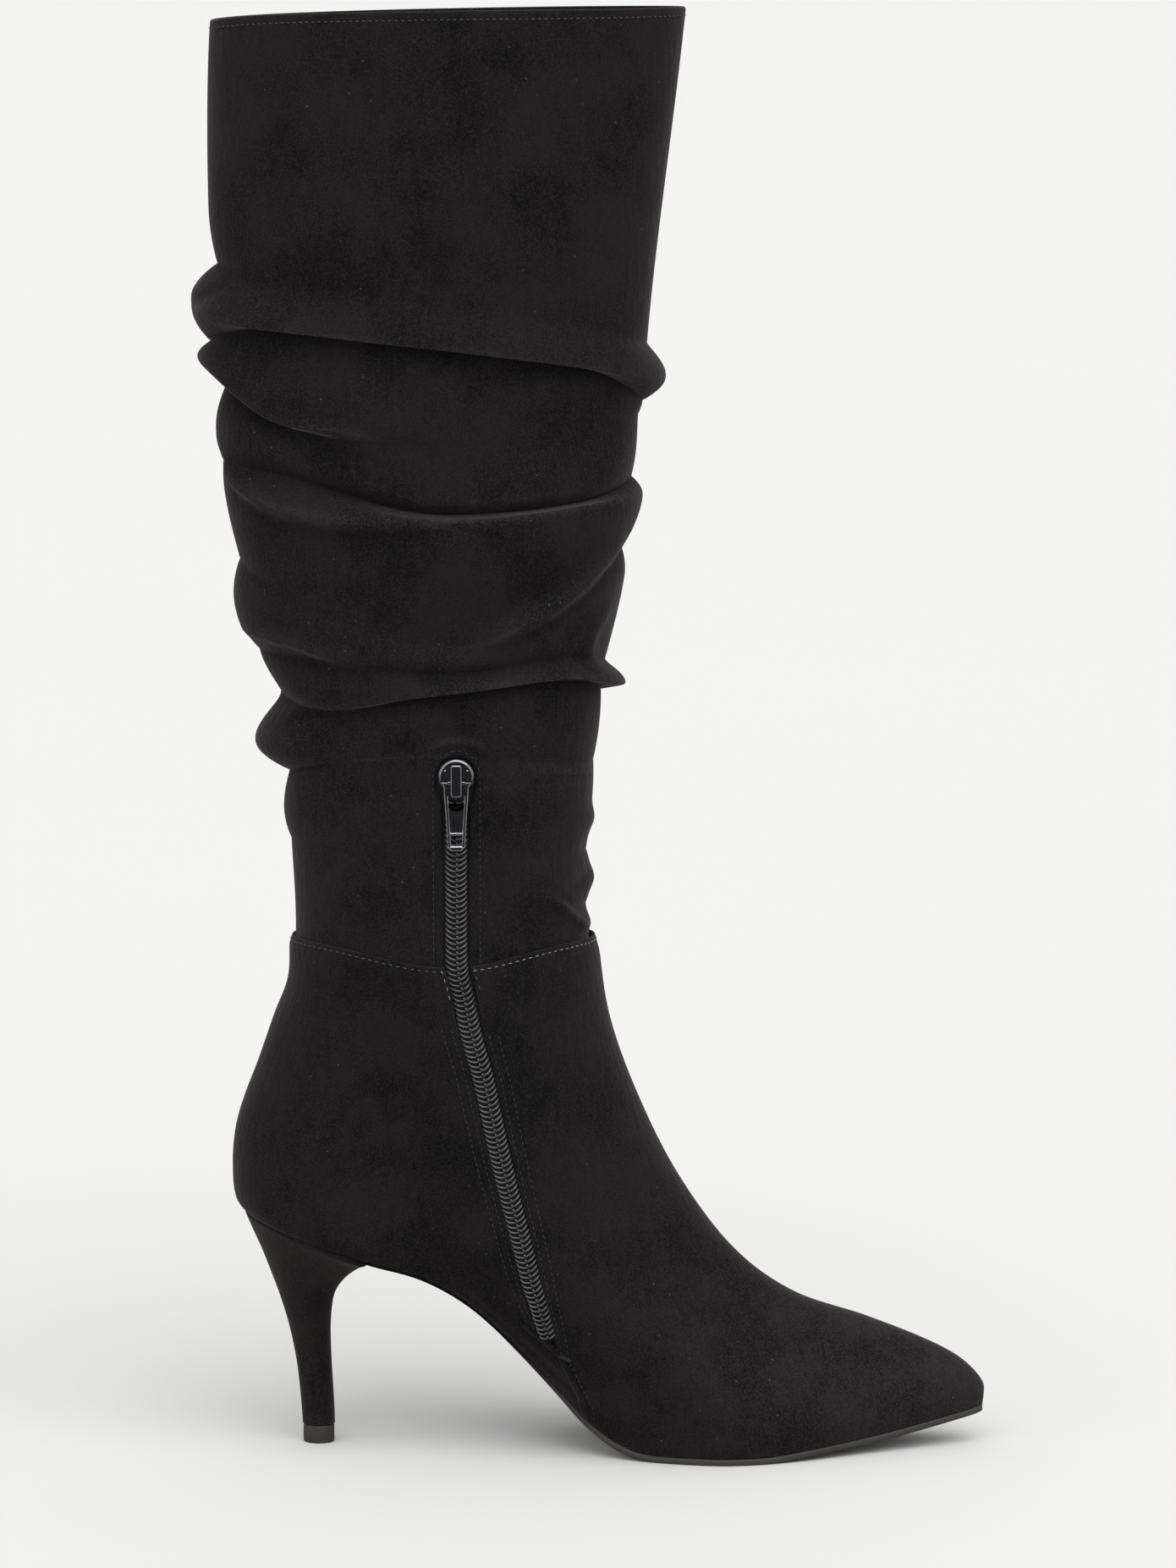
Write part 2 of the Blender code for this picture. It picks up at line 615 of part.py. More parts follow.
def heel_ring(row):
    """One ring of the heel, as points round it."""
    back, front, rise_back, rise_front, width, rounded = row
    base = HEEL_TIP_HEIGHT + GAP
    seat_back, seat_front = SEAT_BACK_X + SOLE_INSET, SEAT_BACK_X + BREAST_EDGE
    back_top, front_top = (float(edge_height(x)) - GAP for x in (seat_back, seat_front))
    lip = OUTSOLE_THICKNESS
    tip = HEEL_TIP_LENGTH / 2
    back_x = -tip + (seat_back + tip) * back
    front_x = tip + (seat_front - tip) * front
    back_z = base + (back_top - base) * rise_back
    front_z = base + (front_top - lip - base) * rise_front
    half = HEEL_TIP_WIDTH / 2 + (SEAT_WIDTH / 2 - SOLE_INSET - HEEL_TIP_WIDTH / 2) * width
    points = []
    for i in range(HEEL_COLUMNS):
        a = i * 2 * math.pi / HEEL_COLUMNS
        c, s = math.cos(a), math.sin(a)
        x = (back_x + front_x) / 2 + (front_x - back_x) / 2 * c
        plain = abs(s) ** (0.8 if c > 0 else 1.0)
        seat_x = (seat_back + seat_front) / 2 + (seat_front - seat_back) / 2 * c
        seat_y = edge_half_width(math.copysign(azimuth_at(seat_x), s)) * 2 / SEAT_WIDTH
        if c > 0:
            seat_y *= (1 - c**10) ** 0.1
        y = half * ((1 - rounded) * plain + rounded * seat_y)
        z = back_z + (front_z - back_z) * (x - back_x) / (front_x - back_x)
        points.append([x, math.copysign(y, s) if abs(s) > 1e-9 else 0.0, z])
    return points


def make_heel(finish):
    """The covered heel: slim at the tip, spreading to the seat's outline, hollowed at the breast."""
    sections = [heel_ring(row) for row in HEEL_RINGS]
    top = heel_ring((1.0, 1.0, 1.0, 1.0, 1.0, 1.0))
    seat = [[x, y, float(edge_height(x)) - GAP] for x, y, _ in top]
    return object_of("heel", loft_of(sections + [seat]), finish)


def make_heel_tip(finish):
    """The hard-wearing tip, a D in plan, whose ground face is flat on the floor."""
    outline = [(x, y) for x, y, _ in heel_ring(HEEL_RINGS[0])]
    inset = 1 - SOLE_INSET / HEEL_TIP_LENGTH
    soft = 0.93
    rows = ((soft * inset, 0.0), (inset, 0.0006), (inset, HEEL_TIP_HEIGHT))
    sections = [[(x * k, y * k, z) for x, y in outline] for k, z in rows]
    return object_of("heel_tip", loft_of(sections), finish)


# The zip, on the inner side

LEG_LEAN = math.radians(ZIP_LEG_LEAN)
TAPE_GAP = 0.0005


def surface_frame(function, u, v, du, dv):
    """Point, outward normal, forward and downward directions of a surface function at u, v."""
    point = function(u, v)
    across = (function(u + du, v) - function(u - du, v)) / (2 * du)
    down = function(u, v + dv) - function(u, v - dv)
    normal = np.cross(across, down)
    normal /= np.linalg.norm(normal)
    if normal[1] > 0:
        normal = -normal
    return point, normal, across, down / np.linalg.norm(down)


def leg_point(azimuth, z):
    x, y = leg_outline(azimuth, np.array([z]))
    return np.array([x[0], y[0], z])


def zip_stations():
    """Places down the zip, each (surface function, azimuth, height or ring, step, wall)."""
    lower = ANKLE_SEAM_HEIGHT - SEAM_DIP_INNER - SEAM_TUCK
    heights = np.concatenate(
        [
            [ZIP_TOP_HEIGHT, ZIP_TOP_HEIGHT - SLOT_HEAD_LENGTH],
            np.linspace(ZIP_TOP_HEIGHT - SLOT_HEAD_LENGTH - 0.003, lower, 7),
        ]
    )
    rings = column(ZIP_LINE, 0, 0)
    stations = []
    for z in heights:
        # Below the seam the line starts to lean towards the toe.
        below = max(0.0, (lower + SEAM_TUCK * 1.5 - z) / (SEAM_TUCK * 1.5))
        lean = math.radians(ZIP_LEG_LEAN + ZIP_SEAM_LEAN * below**2)
        stations.append((leg_point, INNER_SIDE + lean, z, -0.001, SHAFT_WALL))
    for ring in np.linspace(rings[0], rings[-1], 12):
        lean = math.radians(float(smooth(rings, column(ZIP_LINE, 0, 1), ring)))
        stations.append((foot_point, INNER_SIDE + lean, ring, 0.05, FOOT_WALL))
    return stations


def zip_point(station, place, height):
    """A point beside the zip's line, place along the wall's curve and height over its outer face."""
    function, azimuth, level, step, _ = station
    _, _, across, _ = surface_frame(function, azimuth, level, 0.02, step)
    turned = azimuth + place / np.linalg.norm(across)
    point, normal, _, _ = surface_frame(function, turned, level, 0.02, step)
    return point + normal * height


def moved(station, distance):
    """The station moved down the zip by a distance."""
    function, azimuth, level, step, wall = station
    length = np.linalg.norm(function(azimuth, level + step) - function(azimuth, level))
    return (function, azimuth, level + step * distance / length, step, wall)


def strip_sections(stations, half_widths, above, below, columns):
    """Cross sections of a band along the zip, between two heights over the wall's inner face."""
    sections = []
    for station, half in zip(stations, half_widths):
        places = np.linspace(-half, half, columns)
        outer = [zip_point(station, p, above - station[4]) for p in places]
        inner = [zip_point(station, p, below - station[4]) for p in places]
        sections.append(outer + inner[::-1])
    return sections


def make_zip_cutter(stations):
    count = len(stations)
    widths = [SLOT_HEAD_HALF_WIDTH] * 2 + [SLOT_HALF_WIDTH] * (count - 2)
    sections = strip_sections(stations, widths, SHAFT_WALL + 0.004, -0.004, 3)
    cutter = object_of("zip_slot_cutter", loft_of(sections), material("cutter", (0.5, 0.5, 0.5), 0.5))
    cutter.hide_render = True
    cutter.display_type = "WIRE"
    return cutter


def make_zip_tape(stations, finish):
    """The woven tape behind the slot, sewn to the inside of the wall."""
    stations = [moved(stations[0], -TAPE_ABOVE)] + stations + [moved(stations[-1], TAPE_BELOW)]
    widths = [TAPE_WIDTH / 2] * len(stations)
    sections = strip_sections(stations, widths, -TAPE_GAP, -TAPE_GAP - TAPE_THICKNESS, 5)
    return object_of("zip_tape", loft_of(sections), finish)


CHAIN_BOTTOM = GAP - TAPE_GAP  # over the wall's inner face
CHAIN_MARGIN = 0.0012


def make_zip_chain(stations, finish):
    """The closed coil chain, a low band along the middle of the tape."""
    first, last = moved(stations[0], CHAIN_MARGIN), moved(stations[-1], -CHAIN_MARGIN)
    stations = [first] + stations[1:-1] + [last]
    widths = [CHAIN_WIDTH / 2] * len(stations)
    sections = strip_sections(stations, widths, CHAIN_BOTTOM + CHAIN_THICKNESS, CHAIN_BOTTOM, 3)
    return object_of("zip_chain", loft_of(sections), finish)


SLIDER_HINGE_DROP = 0.0087  # from the top of the slot down to the pull's axis


def slider_frame():
    """Where the slider sits: the hinge point on its plate's top face, and its three directions."""
    z = ZIP_TOP_HEIGHT - SLIDER_HINGE_DROP
    point, normal, _, _ = surface_frame(leg_point, INNER_SIDE + LEG_LEAN, z, 0.02, -0.001)
    side = np.array([1.0, 0.0, 0.0])
    normal = np.array([0.0, normal[1], normal[2]]) / math.hypot(normal[1], normal[2])
    down = np.cross(side, normal)
    down = down if down[2] < 0 else -down
    chain_top = CHAIN_BOTTOM + CHAIN_THICKNESS - SHAFT_WALL
    plate_top = chain_top + 2 * GAP + SLIDER_PLATE
    return point + normal * plate_top, side, down, normal


def plate_points(outline, frame, height):
    point, side, down, normal = frame
    return [point + side * s + down * t + normal * height for s, t in outline]


def plate_of(outline, frame, low, high):
    """A flat plate from an outline of (side, down) places, between two heights over the slider's top."""
    return loft_of([plate_points(outline, frame, low), plate_points(outline, frame, high)])


def slider_outline():
    """The slider's shield shape: a round head and a narrower foot."""
    half = SLIDER_WIDTH / 2
    head = half * 0.96
    foot_half = CHAIN_WIDTH / 2 + 0.0003
    top = -SLIDER_HINGE_DROP + 0.0012
    arc = [(half * math.sin(a), top + head - head * math.cos(a)) for a in np.linspace(-1.45, 1.45, 11)]
    foot = top + SLIDER_LENGTH
    right = [(half * 0.93, top + head * 1.25), (foot_half, top + head * 1.6), (foot_half * 0.94, foot)]
    left = [(-s, t) for s, t in right[::-1]]
    return arc + right + left


def join(obj, other):
    """Unites another object with obj and hides it."""
    modifier = obj.modifiers.new("joined", "BOOLEAN")
    modifier.operation = "UNION"
    modifier.solver = "EXACT"
    modifier.object = other
    other.hide_render = True
    other.display_type = "WIRE"


def make_slider(finish):
    """The slider's top plate with the bridge that the pull hangs from."""
    frame = slider_frame()
    plate = object_of("zip_slider", plate_of(slider_outline(), frame, -SLIDER_PLATE, 0.0), finish)
    half = BRIDGE_WIDTH / 2
    top, foot = -SLIDER_HINGE_DROP + 0.0031, 0.0042
    leg, beam, sunk = 0.0016, 0.0011, -0.0005
    rise = BRIDGE_RISE
    profile = [
        (top, sunk),
        (top, rise - 0.0006),
        (top + 0.0008, rise),
        (foot - 0.0008, rise),
        (foot, rise - 0.0006),
        (foot, sunk),
        (foot - leg, sunk),
        (foot - leg, rise - beam),
        (top + leg, rise - beam),
        (top + leg, sunk),
    ]
    point, side, down, normal = frame
    ends = [[point + side * s + down * t + normal * h for t, h in profile] for s in (-half, half)]
    join(plate, object_of("zip_slider_bridge", loft_of(ends), finish))
    return plate


PULL_AXIS_HEIGHT = 0.0010  # the pull's bar over the slider's plate


def pull_outline():
    """The pull's outline with a U mouth at its top, as (side, down) places from its axis."""
    arm_out, arm_in = 0.0045, 0.0029
    waist, tip = 0.0041, 0.0026
    mouth = 0.0072
    curl = [(arm_in * math.cos(a), mouth + arm_in * math.sin(a) * 0.7) for a in np.linspace(0, math.pi, 9)]
    return [
        (arm_out, -0.0006),
        (waist, 0.0030),
        (0.0039, 0.0090),
        (tip + 0.0002, PULL_LENGTH - 0.0012),
        (tip - 0.0005, PULL_LENGTH),
        (0.0005 - tip, PULL_LENGTH),
        (-tip - 0.0002, PULL_LENGTH - 0.0012),
        (-0.0039, 0.0090),
        (-waist, 0.0030),
        (-arm_out, -0.0006),
        (-arm_in, -0.0006),
    ] + curl[::-1] + [(arm_in, -0.0006)]


def make_pull(finish):
    """The pull tab: a plate with a bar across its mouth, which hangs under the slider's bridge."""
    frame = slider_frame()
    half = PULL_THICKNESS / 2
    low, high = PULL_AXIS_HEIGHT - half, PULL_AXIS_HEIGHT + half
    tab = object_of("zip_pull", plate_of(pull_outline(), frame, low, high), finish)
    window = [(-0.0019, 0.0182), (0.0019, 0.0182), (0.0016, 0.0212), (-0.0016, 0.0212)]
    cutter = object_of("zip_pull_window", plate_of(window, frame, low - 0.001, high + 0.001), finish)
    cutter.hide_render = True
    cutter.display_type = "WIRE"
    cut(tab, cutter)
    bar_reach, bar_half = 0.0040, 0.0005
    bar = [(-bar_reach, -bar_half), (bar_reach, -bar_half), (bar_reach, bar_half), (-bar_reach, bar_half)]
    bar_low, bar_high = PULL_AXIS_HEIGHT - bar_half, PULL_AXIS_HEIGHT + bar_half
    join(tab, object_of("zip_pull_bar", plate_of(bar, frame, bar_low, bar_high), finish))
    return tab


def make_boot():
    clear_scene()
    suede = material("black_suede", (0.010, 0.010, 0.012), 0.95)
    heel_suede = material("heel_suede", (0.012, 0.011, 0.011), 0.92)
    rubber = material("outsole_rubber", (0.045, 0.040, 0.037), 0.55)
    lining = material("lining_board", (0.020, 0.019, 0.019), 0.8)
    tip = material("tip_rubber", (0.035, 0.033, 0.032), 0.5)
    woven = material("zip_tape_woven", (0.012, 0.012, 0.013), 0.85)
    coil = material("zip_coil", (0.030, 0.031, 0.033), 0.35)
    metal = material("zip_metal", (0.030, 0.030, 0.032), 0.2, 0.9)

    frames = zip_stations()
    cutter = make_zip_cutter(frames)
    cut(make_foot(suede), cutter)
    cut(make_shaft(suede), cutter)
    make_insole(lining)
    make_outsole(rubber)
    make_heel(heel_suede)
    make_heel_tip(tip)
    make_zip_tape(frames, woven)
    make_zip_chain(frames, coil)
    make_slider(metal)
    make_pull(metal)


make_boot()
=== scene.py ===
"""Left slouch boot of black suede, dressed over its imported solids. Metres, +Z up, toe towards +X."""

import math

import bmesh
import bpy
import numpy as np
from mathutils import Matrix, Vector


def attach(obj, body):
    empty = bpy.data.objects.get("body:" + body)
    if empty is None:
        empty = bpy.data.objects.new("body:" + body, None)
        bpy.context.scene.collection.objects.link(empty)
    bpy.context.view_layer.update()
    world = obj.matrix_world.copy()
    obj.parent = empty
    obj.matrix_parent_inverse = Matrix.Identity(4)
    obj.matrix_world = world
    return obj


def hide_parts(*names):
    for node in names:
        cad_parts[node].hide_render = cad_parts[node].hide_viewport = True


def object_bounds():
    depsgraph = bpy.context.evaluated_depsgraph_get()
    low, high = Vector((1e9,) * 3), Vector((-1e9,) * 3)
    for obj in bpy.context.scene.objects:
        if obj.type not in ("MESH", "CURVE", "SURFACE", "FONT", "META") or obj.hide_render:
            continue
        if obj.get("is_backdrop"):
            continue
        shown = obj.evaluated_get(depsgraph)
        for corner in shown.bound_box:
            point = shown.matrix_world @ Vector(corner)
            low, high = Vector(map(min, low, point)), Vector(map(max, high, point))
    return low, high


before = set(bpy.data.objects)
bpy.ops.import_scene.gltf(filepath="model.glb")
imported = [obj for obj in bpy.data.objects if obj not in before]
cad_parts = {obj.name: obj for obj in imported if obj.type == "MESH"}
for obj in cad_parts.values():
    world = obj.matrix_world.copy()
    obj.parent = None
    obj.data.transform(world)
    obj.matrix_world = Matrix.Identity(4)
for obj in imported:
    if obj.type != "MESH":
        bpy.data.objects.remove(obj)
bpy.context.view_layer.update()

# The studio. The boot stands on a plain pale floor that runs on far behind it under a pale sky, lit by
# one broad soft light above and in front, and a weaker one on each side. The camera looks slightly down.
camera_lens = bpy.data.cameras.new("photograph_lens")
camera_lens.lens = 175.39
camera_lens.sensor_width = 36.0
camera_lens.clip_end = 200.0
camera = bpy.data.objects.new("photograph_view", camera_lens)
camera.location = (0.0902, -2.500, 0.600)
camera.rotation_euler = (math.radians(90 - 8.586), 0.0, 0.0)
bpy.context.scene.collection.objects.link(camera)
bpy.context.scene.camera = camera
bpy.context.scene.view_settings.view_transform = "Standard"


def node_in(tree, kind, inputs=(), **settings):
    """Adds a node to a tree. inputs gives each input a value or another node's output."""
    made = tree.nodes.new(kind)
    for name, value in settings.items():
        setattr(made, name, value)
    for name, value in dict(inputs).items():
        if isinstance(value, bpy.types.NodeSocket):
            tree.links.new(value, made.inputs[name])
        else:
            made.inputs[name].default_value = value
    return made


def finish_named(name):
    """A new node material, its tree and its Principled shader."""
    made = bpy.data.materials.new(name)
    made.use_nodes = True
    return made, made.node_tree, made.node_tree.nodes["Principled BSDF"]


def mottled(tree, place, scale, detail, dark, light):
    """A colour that drifts between two tones, and the cloud that mixes them."""
    cloud = node_in(tree, "ShaderNodeTexNoise", {"Vector": place, "Scale": scale, "Detail": detail})
    tones = {0: cloud.outputs["Fac"], 6: (*dark, 1.0), 7: (*light, 1.0)}
    return node_in(tree, "ShaderNodeMix", tones, data_type="RGBA").outputs[2], cloud.outputs["Fac"]


floor_paint, tree, shader = finish_named("pale_floor_paint")
floor_place = node_in(tree, "ShaderNodeTexCoord").outputs["Object"]
floor_tone, _ = mottled(tree, floor_place, 1.5, 2.0, (0.905, 0.903, 0.897), (0.915, 0.912, 0.905))
camera_ray = node_in(tree, "ShaderNodeLightPath").outputs["Is Camera Ray"]
tones = {0: camera_ray, 6: (0.42, 0.415, 0.41, 1.0), 7: floor_tone}
bounced = node_in(tree, "ShaderNodeMix", tones, data_type="RGBA").outputs[2]
tree.links.new(bounced, shader.inputs["Base Color"])
shader.inputs["Roughness"].default_value = 0.85
shader.inputs["Specular IOR Level"].default_value = 0.2
floor_mesh = bpy.data.meshes.new("floor")
floor_mesh.from_pydata([(-20, -20, 0), (20, -20, 0), (20, 60, 0), (-20, 60, 0)], [], [(0, 1, 2, 3)])
floor_mesh.materials.append(floor_paint)
floor = bpy.data.objects.new("floor", floor_mesh)
bpy.context.scene.collection.objects.link(floor)
floor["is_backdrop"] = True

sky = bpy.data.worlds.new("studio_surround")
bpy.context.scene.world = sky
sky.use_nodes = True
sky.node_tree.nodes["Background"].inputs["Color"].default_value = (1.0, 1.0, 1.0, 1.0)
sky.node_tree.nodes["Background"].inputs["Strength"].default_value = 0.57

SOFT_LIGHTS = (
    # name, comes from, spread in degrees, strength
    ("overhead_light", (0.22, -0.60, 1.00), 60.0, 1.16),
    ("left_light", (-1.00, -0.85, 0.62), 80.0, 0.52),
    ("right_light", (1.00, -0.70, 0.75), 80.0, 0.36),
)
for name, place, spread, strength in SOFT_LIGHTS:
    light = bpy.data.lights.new(name, "SUN")
    light.energy, light.angle = strength, math.radians(spread)
    hung = bpy.data.objects.new(name, light)
    hung.rotation_euler = (-Vector(place)).to_track_quat("-Z", "Y").to_euler()
    bpy.context.scene.collection.objects.link(hung)

# The suede. All the leather of the boot is one black goat suede: a short brushed nap that goes
# lighter where it is stroked up, with a soft bloom where it is seen edge on. Its colour also carries
# painted shade in the folds' hollows and painted highlights on their ridges, their lips and the toe.


def ranged(tree, value, low, high, to_low=0.0, to_high=1.0, **settings):
    """A value between two limits, read as one between two others."""
    limits = {"Value": value, "From Min": low, "From Max": high, "To Min": to_low, "To Max": to_high}
    return node_in(tree, "ShaderNodeMapRange", limits, **settings).outputs[0]


def worked(tree, operation, *values):
    """What a sum makes of its values."""
    return node_in(tree, "ShaderNodeMath", dict(enumerate(values)), operation=operation).outputs[0]


def bumped(tree, height, strength, distance):
    """The normal of a surface that a height raises a little."""
    given = {"Height": height, "Strength": strength, "Distance": distance}
    return node_in(tree, "ShaderNodeBump", given).outputs["Normal"]


def nap_group():
    """The nap's colour, roughness and height over the surface."""
    group = bpy.data.node_groups.new("suede_nap", "ShaderNodeTree")
    face = group.interface
    for label, kind, value in (
        ("Place", "NodeSocketVector", (0.0, 0.0, 0.0)),
        ("Pressed Nap", "NodeSocketColor", (0.0060, 0.0060, 0.0068, 1.0)),
        ("Raised Nap", "NodeSocketColor", (0.0170, 0.0165, 0.0185, 1.0)),
        ("Brush Size", "NodeSocketFloat", 42.0),
    ):
        face.new_socket(label, in_out="INPUT", socket_type=kind).default_value = value
    face.new_socket("Colour", in_out="OUTPUT", socket_type="NodeSocketColor")
    face.new_socket("Roughness", in_out="OUTPUT", socket_type="NodeSocketFloat")
    face.new_socket("Height", in_out="OUTPUT", socket_type="NodeSocketFloat")
    given = node_in(group, "NodeGroupInput").outputs
    place = given["Place"]
    brush = {"Vector": place, "Scale": given["Brush Size"], "Detail": 3.0, "Roughness": 0.55}
    cloud = ranged(group, node_in(group, "ShaderNodeTexNoise", brush).outputs["Fac"], 0.40, 0.62)
    drawn_out = node_in(group, "ShaderNodeMapping", {"Vector": place, "Scale": (1.0, 1.0, 0.35)}).outputs[0]
    streaks = node_in(group, "ShaderNodeTexNoise", {"Vector": drawn_out, "Scale": 420.0, "Detail": 4.0})
    streaks = streaks.outputs["Fac"]
    tufts = {"Vector": place, "Scale": 1600.0, "Detail": 3.0, "Roughness": 0.8}
    grain = node_in(group, "ShaderNodeTexNoise", tufts).outputs["Fac"]
    raised = worked(group, "MULTIPLY", cloud, 0.50)
    raised = worked(group, "MULTIPLY_ADD", ranged(group, streaks, 0.3, 0.7), 0.22, raised)
    raised = worked(group, "MULTIPLY_ADD", ranged(group, grain, 0.46, 0.61), 0.80, raised)
    tones = {0: raised, 6: given["Pressed Nap"], 7: given["Raised Nap"]}
    tone = node_in(group, "ShaderNodeMix", tones, data_type="RGBA").outputs[2]
    specks = node_in(group, "ShaderNodeTexVoronoi", {"Vector": place, "Scale": 230.0}).outputs
    lint = ranged(group, specks["Distance"], 0.085, 0.035, 0.0, 0.06)
    lint = worked(group, "MULTIPLY", lint, worked(group, "GREATER_THAN", specks["Color"], 0.66))
    flecked = node_in(group, "ShaderNodeVectorMath", {0: tone, 1: lint}, operation="ADD").outputs[0]
    taken = node_in(group, "NodeGroupOutput").inputs
    group.links.new(flecked, taken["Colour"])
    group.links.new(ranged(group, cloud, 0.0, 1.0, 0.86, 0.97), taken["Roughness"])
    group.links.new(worked(group, "MULTIPLY_ADD", grain, 0.5, streaks), taken["Height"])
    return group


SUEDE_NAP = nap_group()


def suede(name, pressed, raised, brush_size, bloom):
    """A suede of the given two tones."""
    made, tree, shader = finish_named(name)
    place = node_in(tree, "ShaderNodeTexCoord").outputs["Object"]
    tones = {"Pressed Nap": (*pressed, 1.0), "Raised Nap": (*raised, 1.0)}
    given = {"Place": place, "Brush Size": brush_size, **tones}
    nap = node_in(tree, "ShaderNodeGroup", given, node_tree=SUEDE_NAP).outputs
    # A value on the mesh scales the nap's colour: below 0 it is painted shade, above 0 painted highlight.
    painted_light = node_in(tree, "ShaderNodeAttribute", attribute_name="painted_light").outputs["Fac"]
    wear_and_painted_light = ranged(tree, painted_light, -1.0, 1.0, 0.52, 1.48, clamp=False)
    toned = node_in(tree, "ShaderNodeVectorMath", {0: nap["Colour"], "Scale": wear_and_painted_light}, operation="SCALE")
    tree.links.new(toned.outputs[0], shader.inputs["Base Color"])
    tree.links.new(nap["Roughness"], shader.inputs["Roughness"])
    tree.links.new(bumped(tree, nap["Height"], 0.6, 0.0006), shader.inputs["Normal"])
    shader.inputs["Specular IOR Level"].default_value = 0.12
    shader.inputs["Sheen Weight"].default_value = bloom
    shader.inputs["Sheen Roughness"].default_value = 0.42
    shader.inputs["Sheen Tint"].default_value = (0.62, 0.54, 0.56, 1.0)
    return made


# The foot. Two pieces of suede over a pointed last are sewn into one upper, whose top edge laps over
# the leg at the ankle and whose lower edge is drawn in under the insole board.
SOLE_LENGTH = 0.2470
SEAT_SETBACK = 0.0245
BALL_WIDTH = 0.0755
SEAT_WIDTH = 0.0570
HEEL_HEIGHT = 0.0800
TOE_SPRING = 0.0105
TOE_RADIUS = 0.0042
SEAT_RADIUS = 0.0270
OUTSOLE_THICKNESS = 0.0024
ANKLE_SEAM_HEIGHT = 0.1720
LEG_AXIS = 0.0445
ANKLE_LENGTH = 0.0981
ANKLE_WIDTH = 0.0640
BACK_REACH_AT_SEAM = 1.046
FRONT_REACH_AT_SEAM = 0.954
WALL = 0.0016
GAP = 0.0003
SEAM_GAP = 0.0005
SEAM_DIP_INNER = 0.0060
SEAM_DIP_OUTER = 0.0040
SLOT_HALF_WIDTH = 0.0045
INNER_SIDE = 1.5 * math.pi

SOLE_LINE = (
    # along, seat, spring
    (0.000, 1.000, 0.00),
    (0.090, 0.910, 0.00),
    (0.174, 0.825, 0.00),
    (0.243, 0.752, 0.00),
    (0.311, 0.611, 0.00),
    (0.379, 0.409, 0.00),
    (0.424, 0.262, 0.00),
    (0.465, 0.128, 0.00),
    (0.509, 0.035, 0.00),
    (0.556, 0.000, 0.00),
    (0.625, 0.000, 0.00),
    (0.694, 0.000, 0.00),
    (0.767, 0.000, 0.15),
    (0.851, 0.000, 0.37),
    (0.932, 0.000, 0.69),
    (1.000, 0.000, 1.00),
)
SOLE_OUTLINE = (
    # along, seat share inner, seat share outer, ball share inner, ball share outer
    (0.030, 0.310, 0.310, 0.000, 0.000),
    (0.080, 0.446, 0.446, 0.000, 0.000),
    (0.145, 0.500, 0.500, 0.000, 0.000),
    (0.220, 0.465, 0.480, 0.000, 0.000),
    (0.320, 0.360, 0.420, 0.000, 0.000),
    (0.420, 0.170, 0.200, 0.170, 0.205),
    (0.520, 0.000, 0.000, 0.400, 0.440),
    (0.600, 0.000, 0.000, 0.478, 0.498),
    (0.660, 0.000, 0.000, 0.498, 0.486),
    (0.740, 0.000, 0.000, 0.432, 0.408),
    (0.840, 0.000, 0.000, 0.284, 0.268),
    (0.920, 0.000, 0.000, 0.166, 0.158),
    (0.970, 0.000, 0.000, 0.092, 0.088),
)
FOOT_RINGS = (
    # front_run, front_drop, back_run, back_drop, sag, plan, swell, fall
    (0.000, 0.000, 0.000, 0.000, 0.00, 0.00, 0.000, 0.00),
    (0.031, 0.170, 0.040, 0.152, 0.02, 0.03, 0.000, 0.00),
    (0.105, 0.341, 0.340, 0.290, 0.08, 0.09, -0.005, 0.02),
    (0.212, 0.515, 0.684, 0.457, 0.17, 0.19, -0.006, 0.06),
    (0.352, 0.668, 0.968, 0.582, 0.30, 0.33, 0.002, 0.12),
    (0.508, 0.762, 1.152, 0.685, 0.45, 0.48, 0.015, 0.16),
    (0.700, 0.816, 1.234, 0.788, 0.62, 0.63, 0.028, 0.12),
    (0.862, 0.869, 1.240, 0.875, 0.78, 0.77, 0.036, 0.05),
    (0.954, 0.913, 1.196, 0.946, 0.90, 0.88, 0.034, 0.00),
    (1.003, 0.967, 1.108, 0.980, 0.96, 0.95, 0.019, 0.00),
    (1.000, 1.000, 1.000, 1.000, 1.00, 1.00, 0.000, 0.00),
)
ZIP_FOOT_LINE = (
    # ring, degrees that the zip stands ahead of the inner side
    (-0.50, 3.3),
    (0.00, 3.6),
    (0.45, 5.3),
    (1.10, 6.0),
    (2.00, 8.1),
    (3.00, 7.9),
    (4.00, 6.0),
    (5.00, 2.3),
    (6.00, -2.6),
    (6.90, -6.0),
    (7.50, -8.3),
)
ZIP_LAST_RING = 6.90


def smooth(places, values, at):
    """Cubic curve through values at rising places, with even tangents, read at the given places."""
    places, values, at = (np.asarray(a, float) for a in (places, values, at))
    steps = np.diff(places)
    slopes = np.diff(values) / steps
    tangents = np.empty_like(values)
    tangents[0], tangents[-1] = slopes[0], slopes[-1]
    tangents[1:-1] = (slopes[:-1] * steps[1:] + slopes[1:] * steps[:-1]) / (steps[:-1] + steps[1:])
    tangents[1:-1][slopes[:-1] * slopes[1:] <= 0] = 0.0
    cell = np.clip(np.searchsorted(places, at) - 1, 0, len(steps) - 1)
    t = np.clip((at - places[cell]) / steps[cell], 0.0, 1.0)
    low, high = values[cell], values[cell + 1]
    a, b = tangents[cell] * steps[cell], tangents[cell + 1] * steps[cell]
    rise = low * (1 + 2 * t) * (1 - t) ** 2 + high * t**2 * (3 - 2 * t)
    return rise + a * t * (1 - t) ** 2 - b * t**2 * (1 - t)


def read(table, index):
    """A column of a table."""
    return np.array([row[index] for row in table], float)


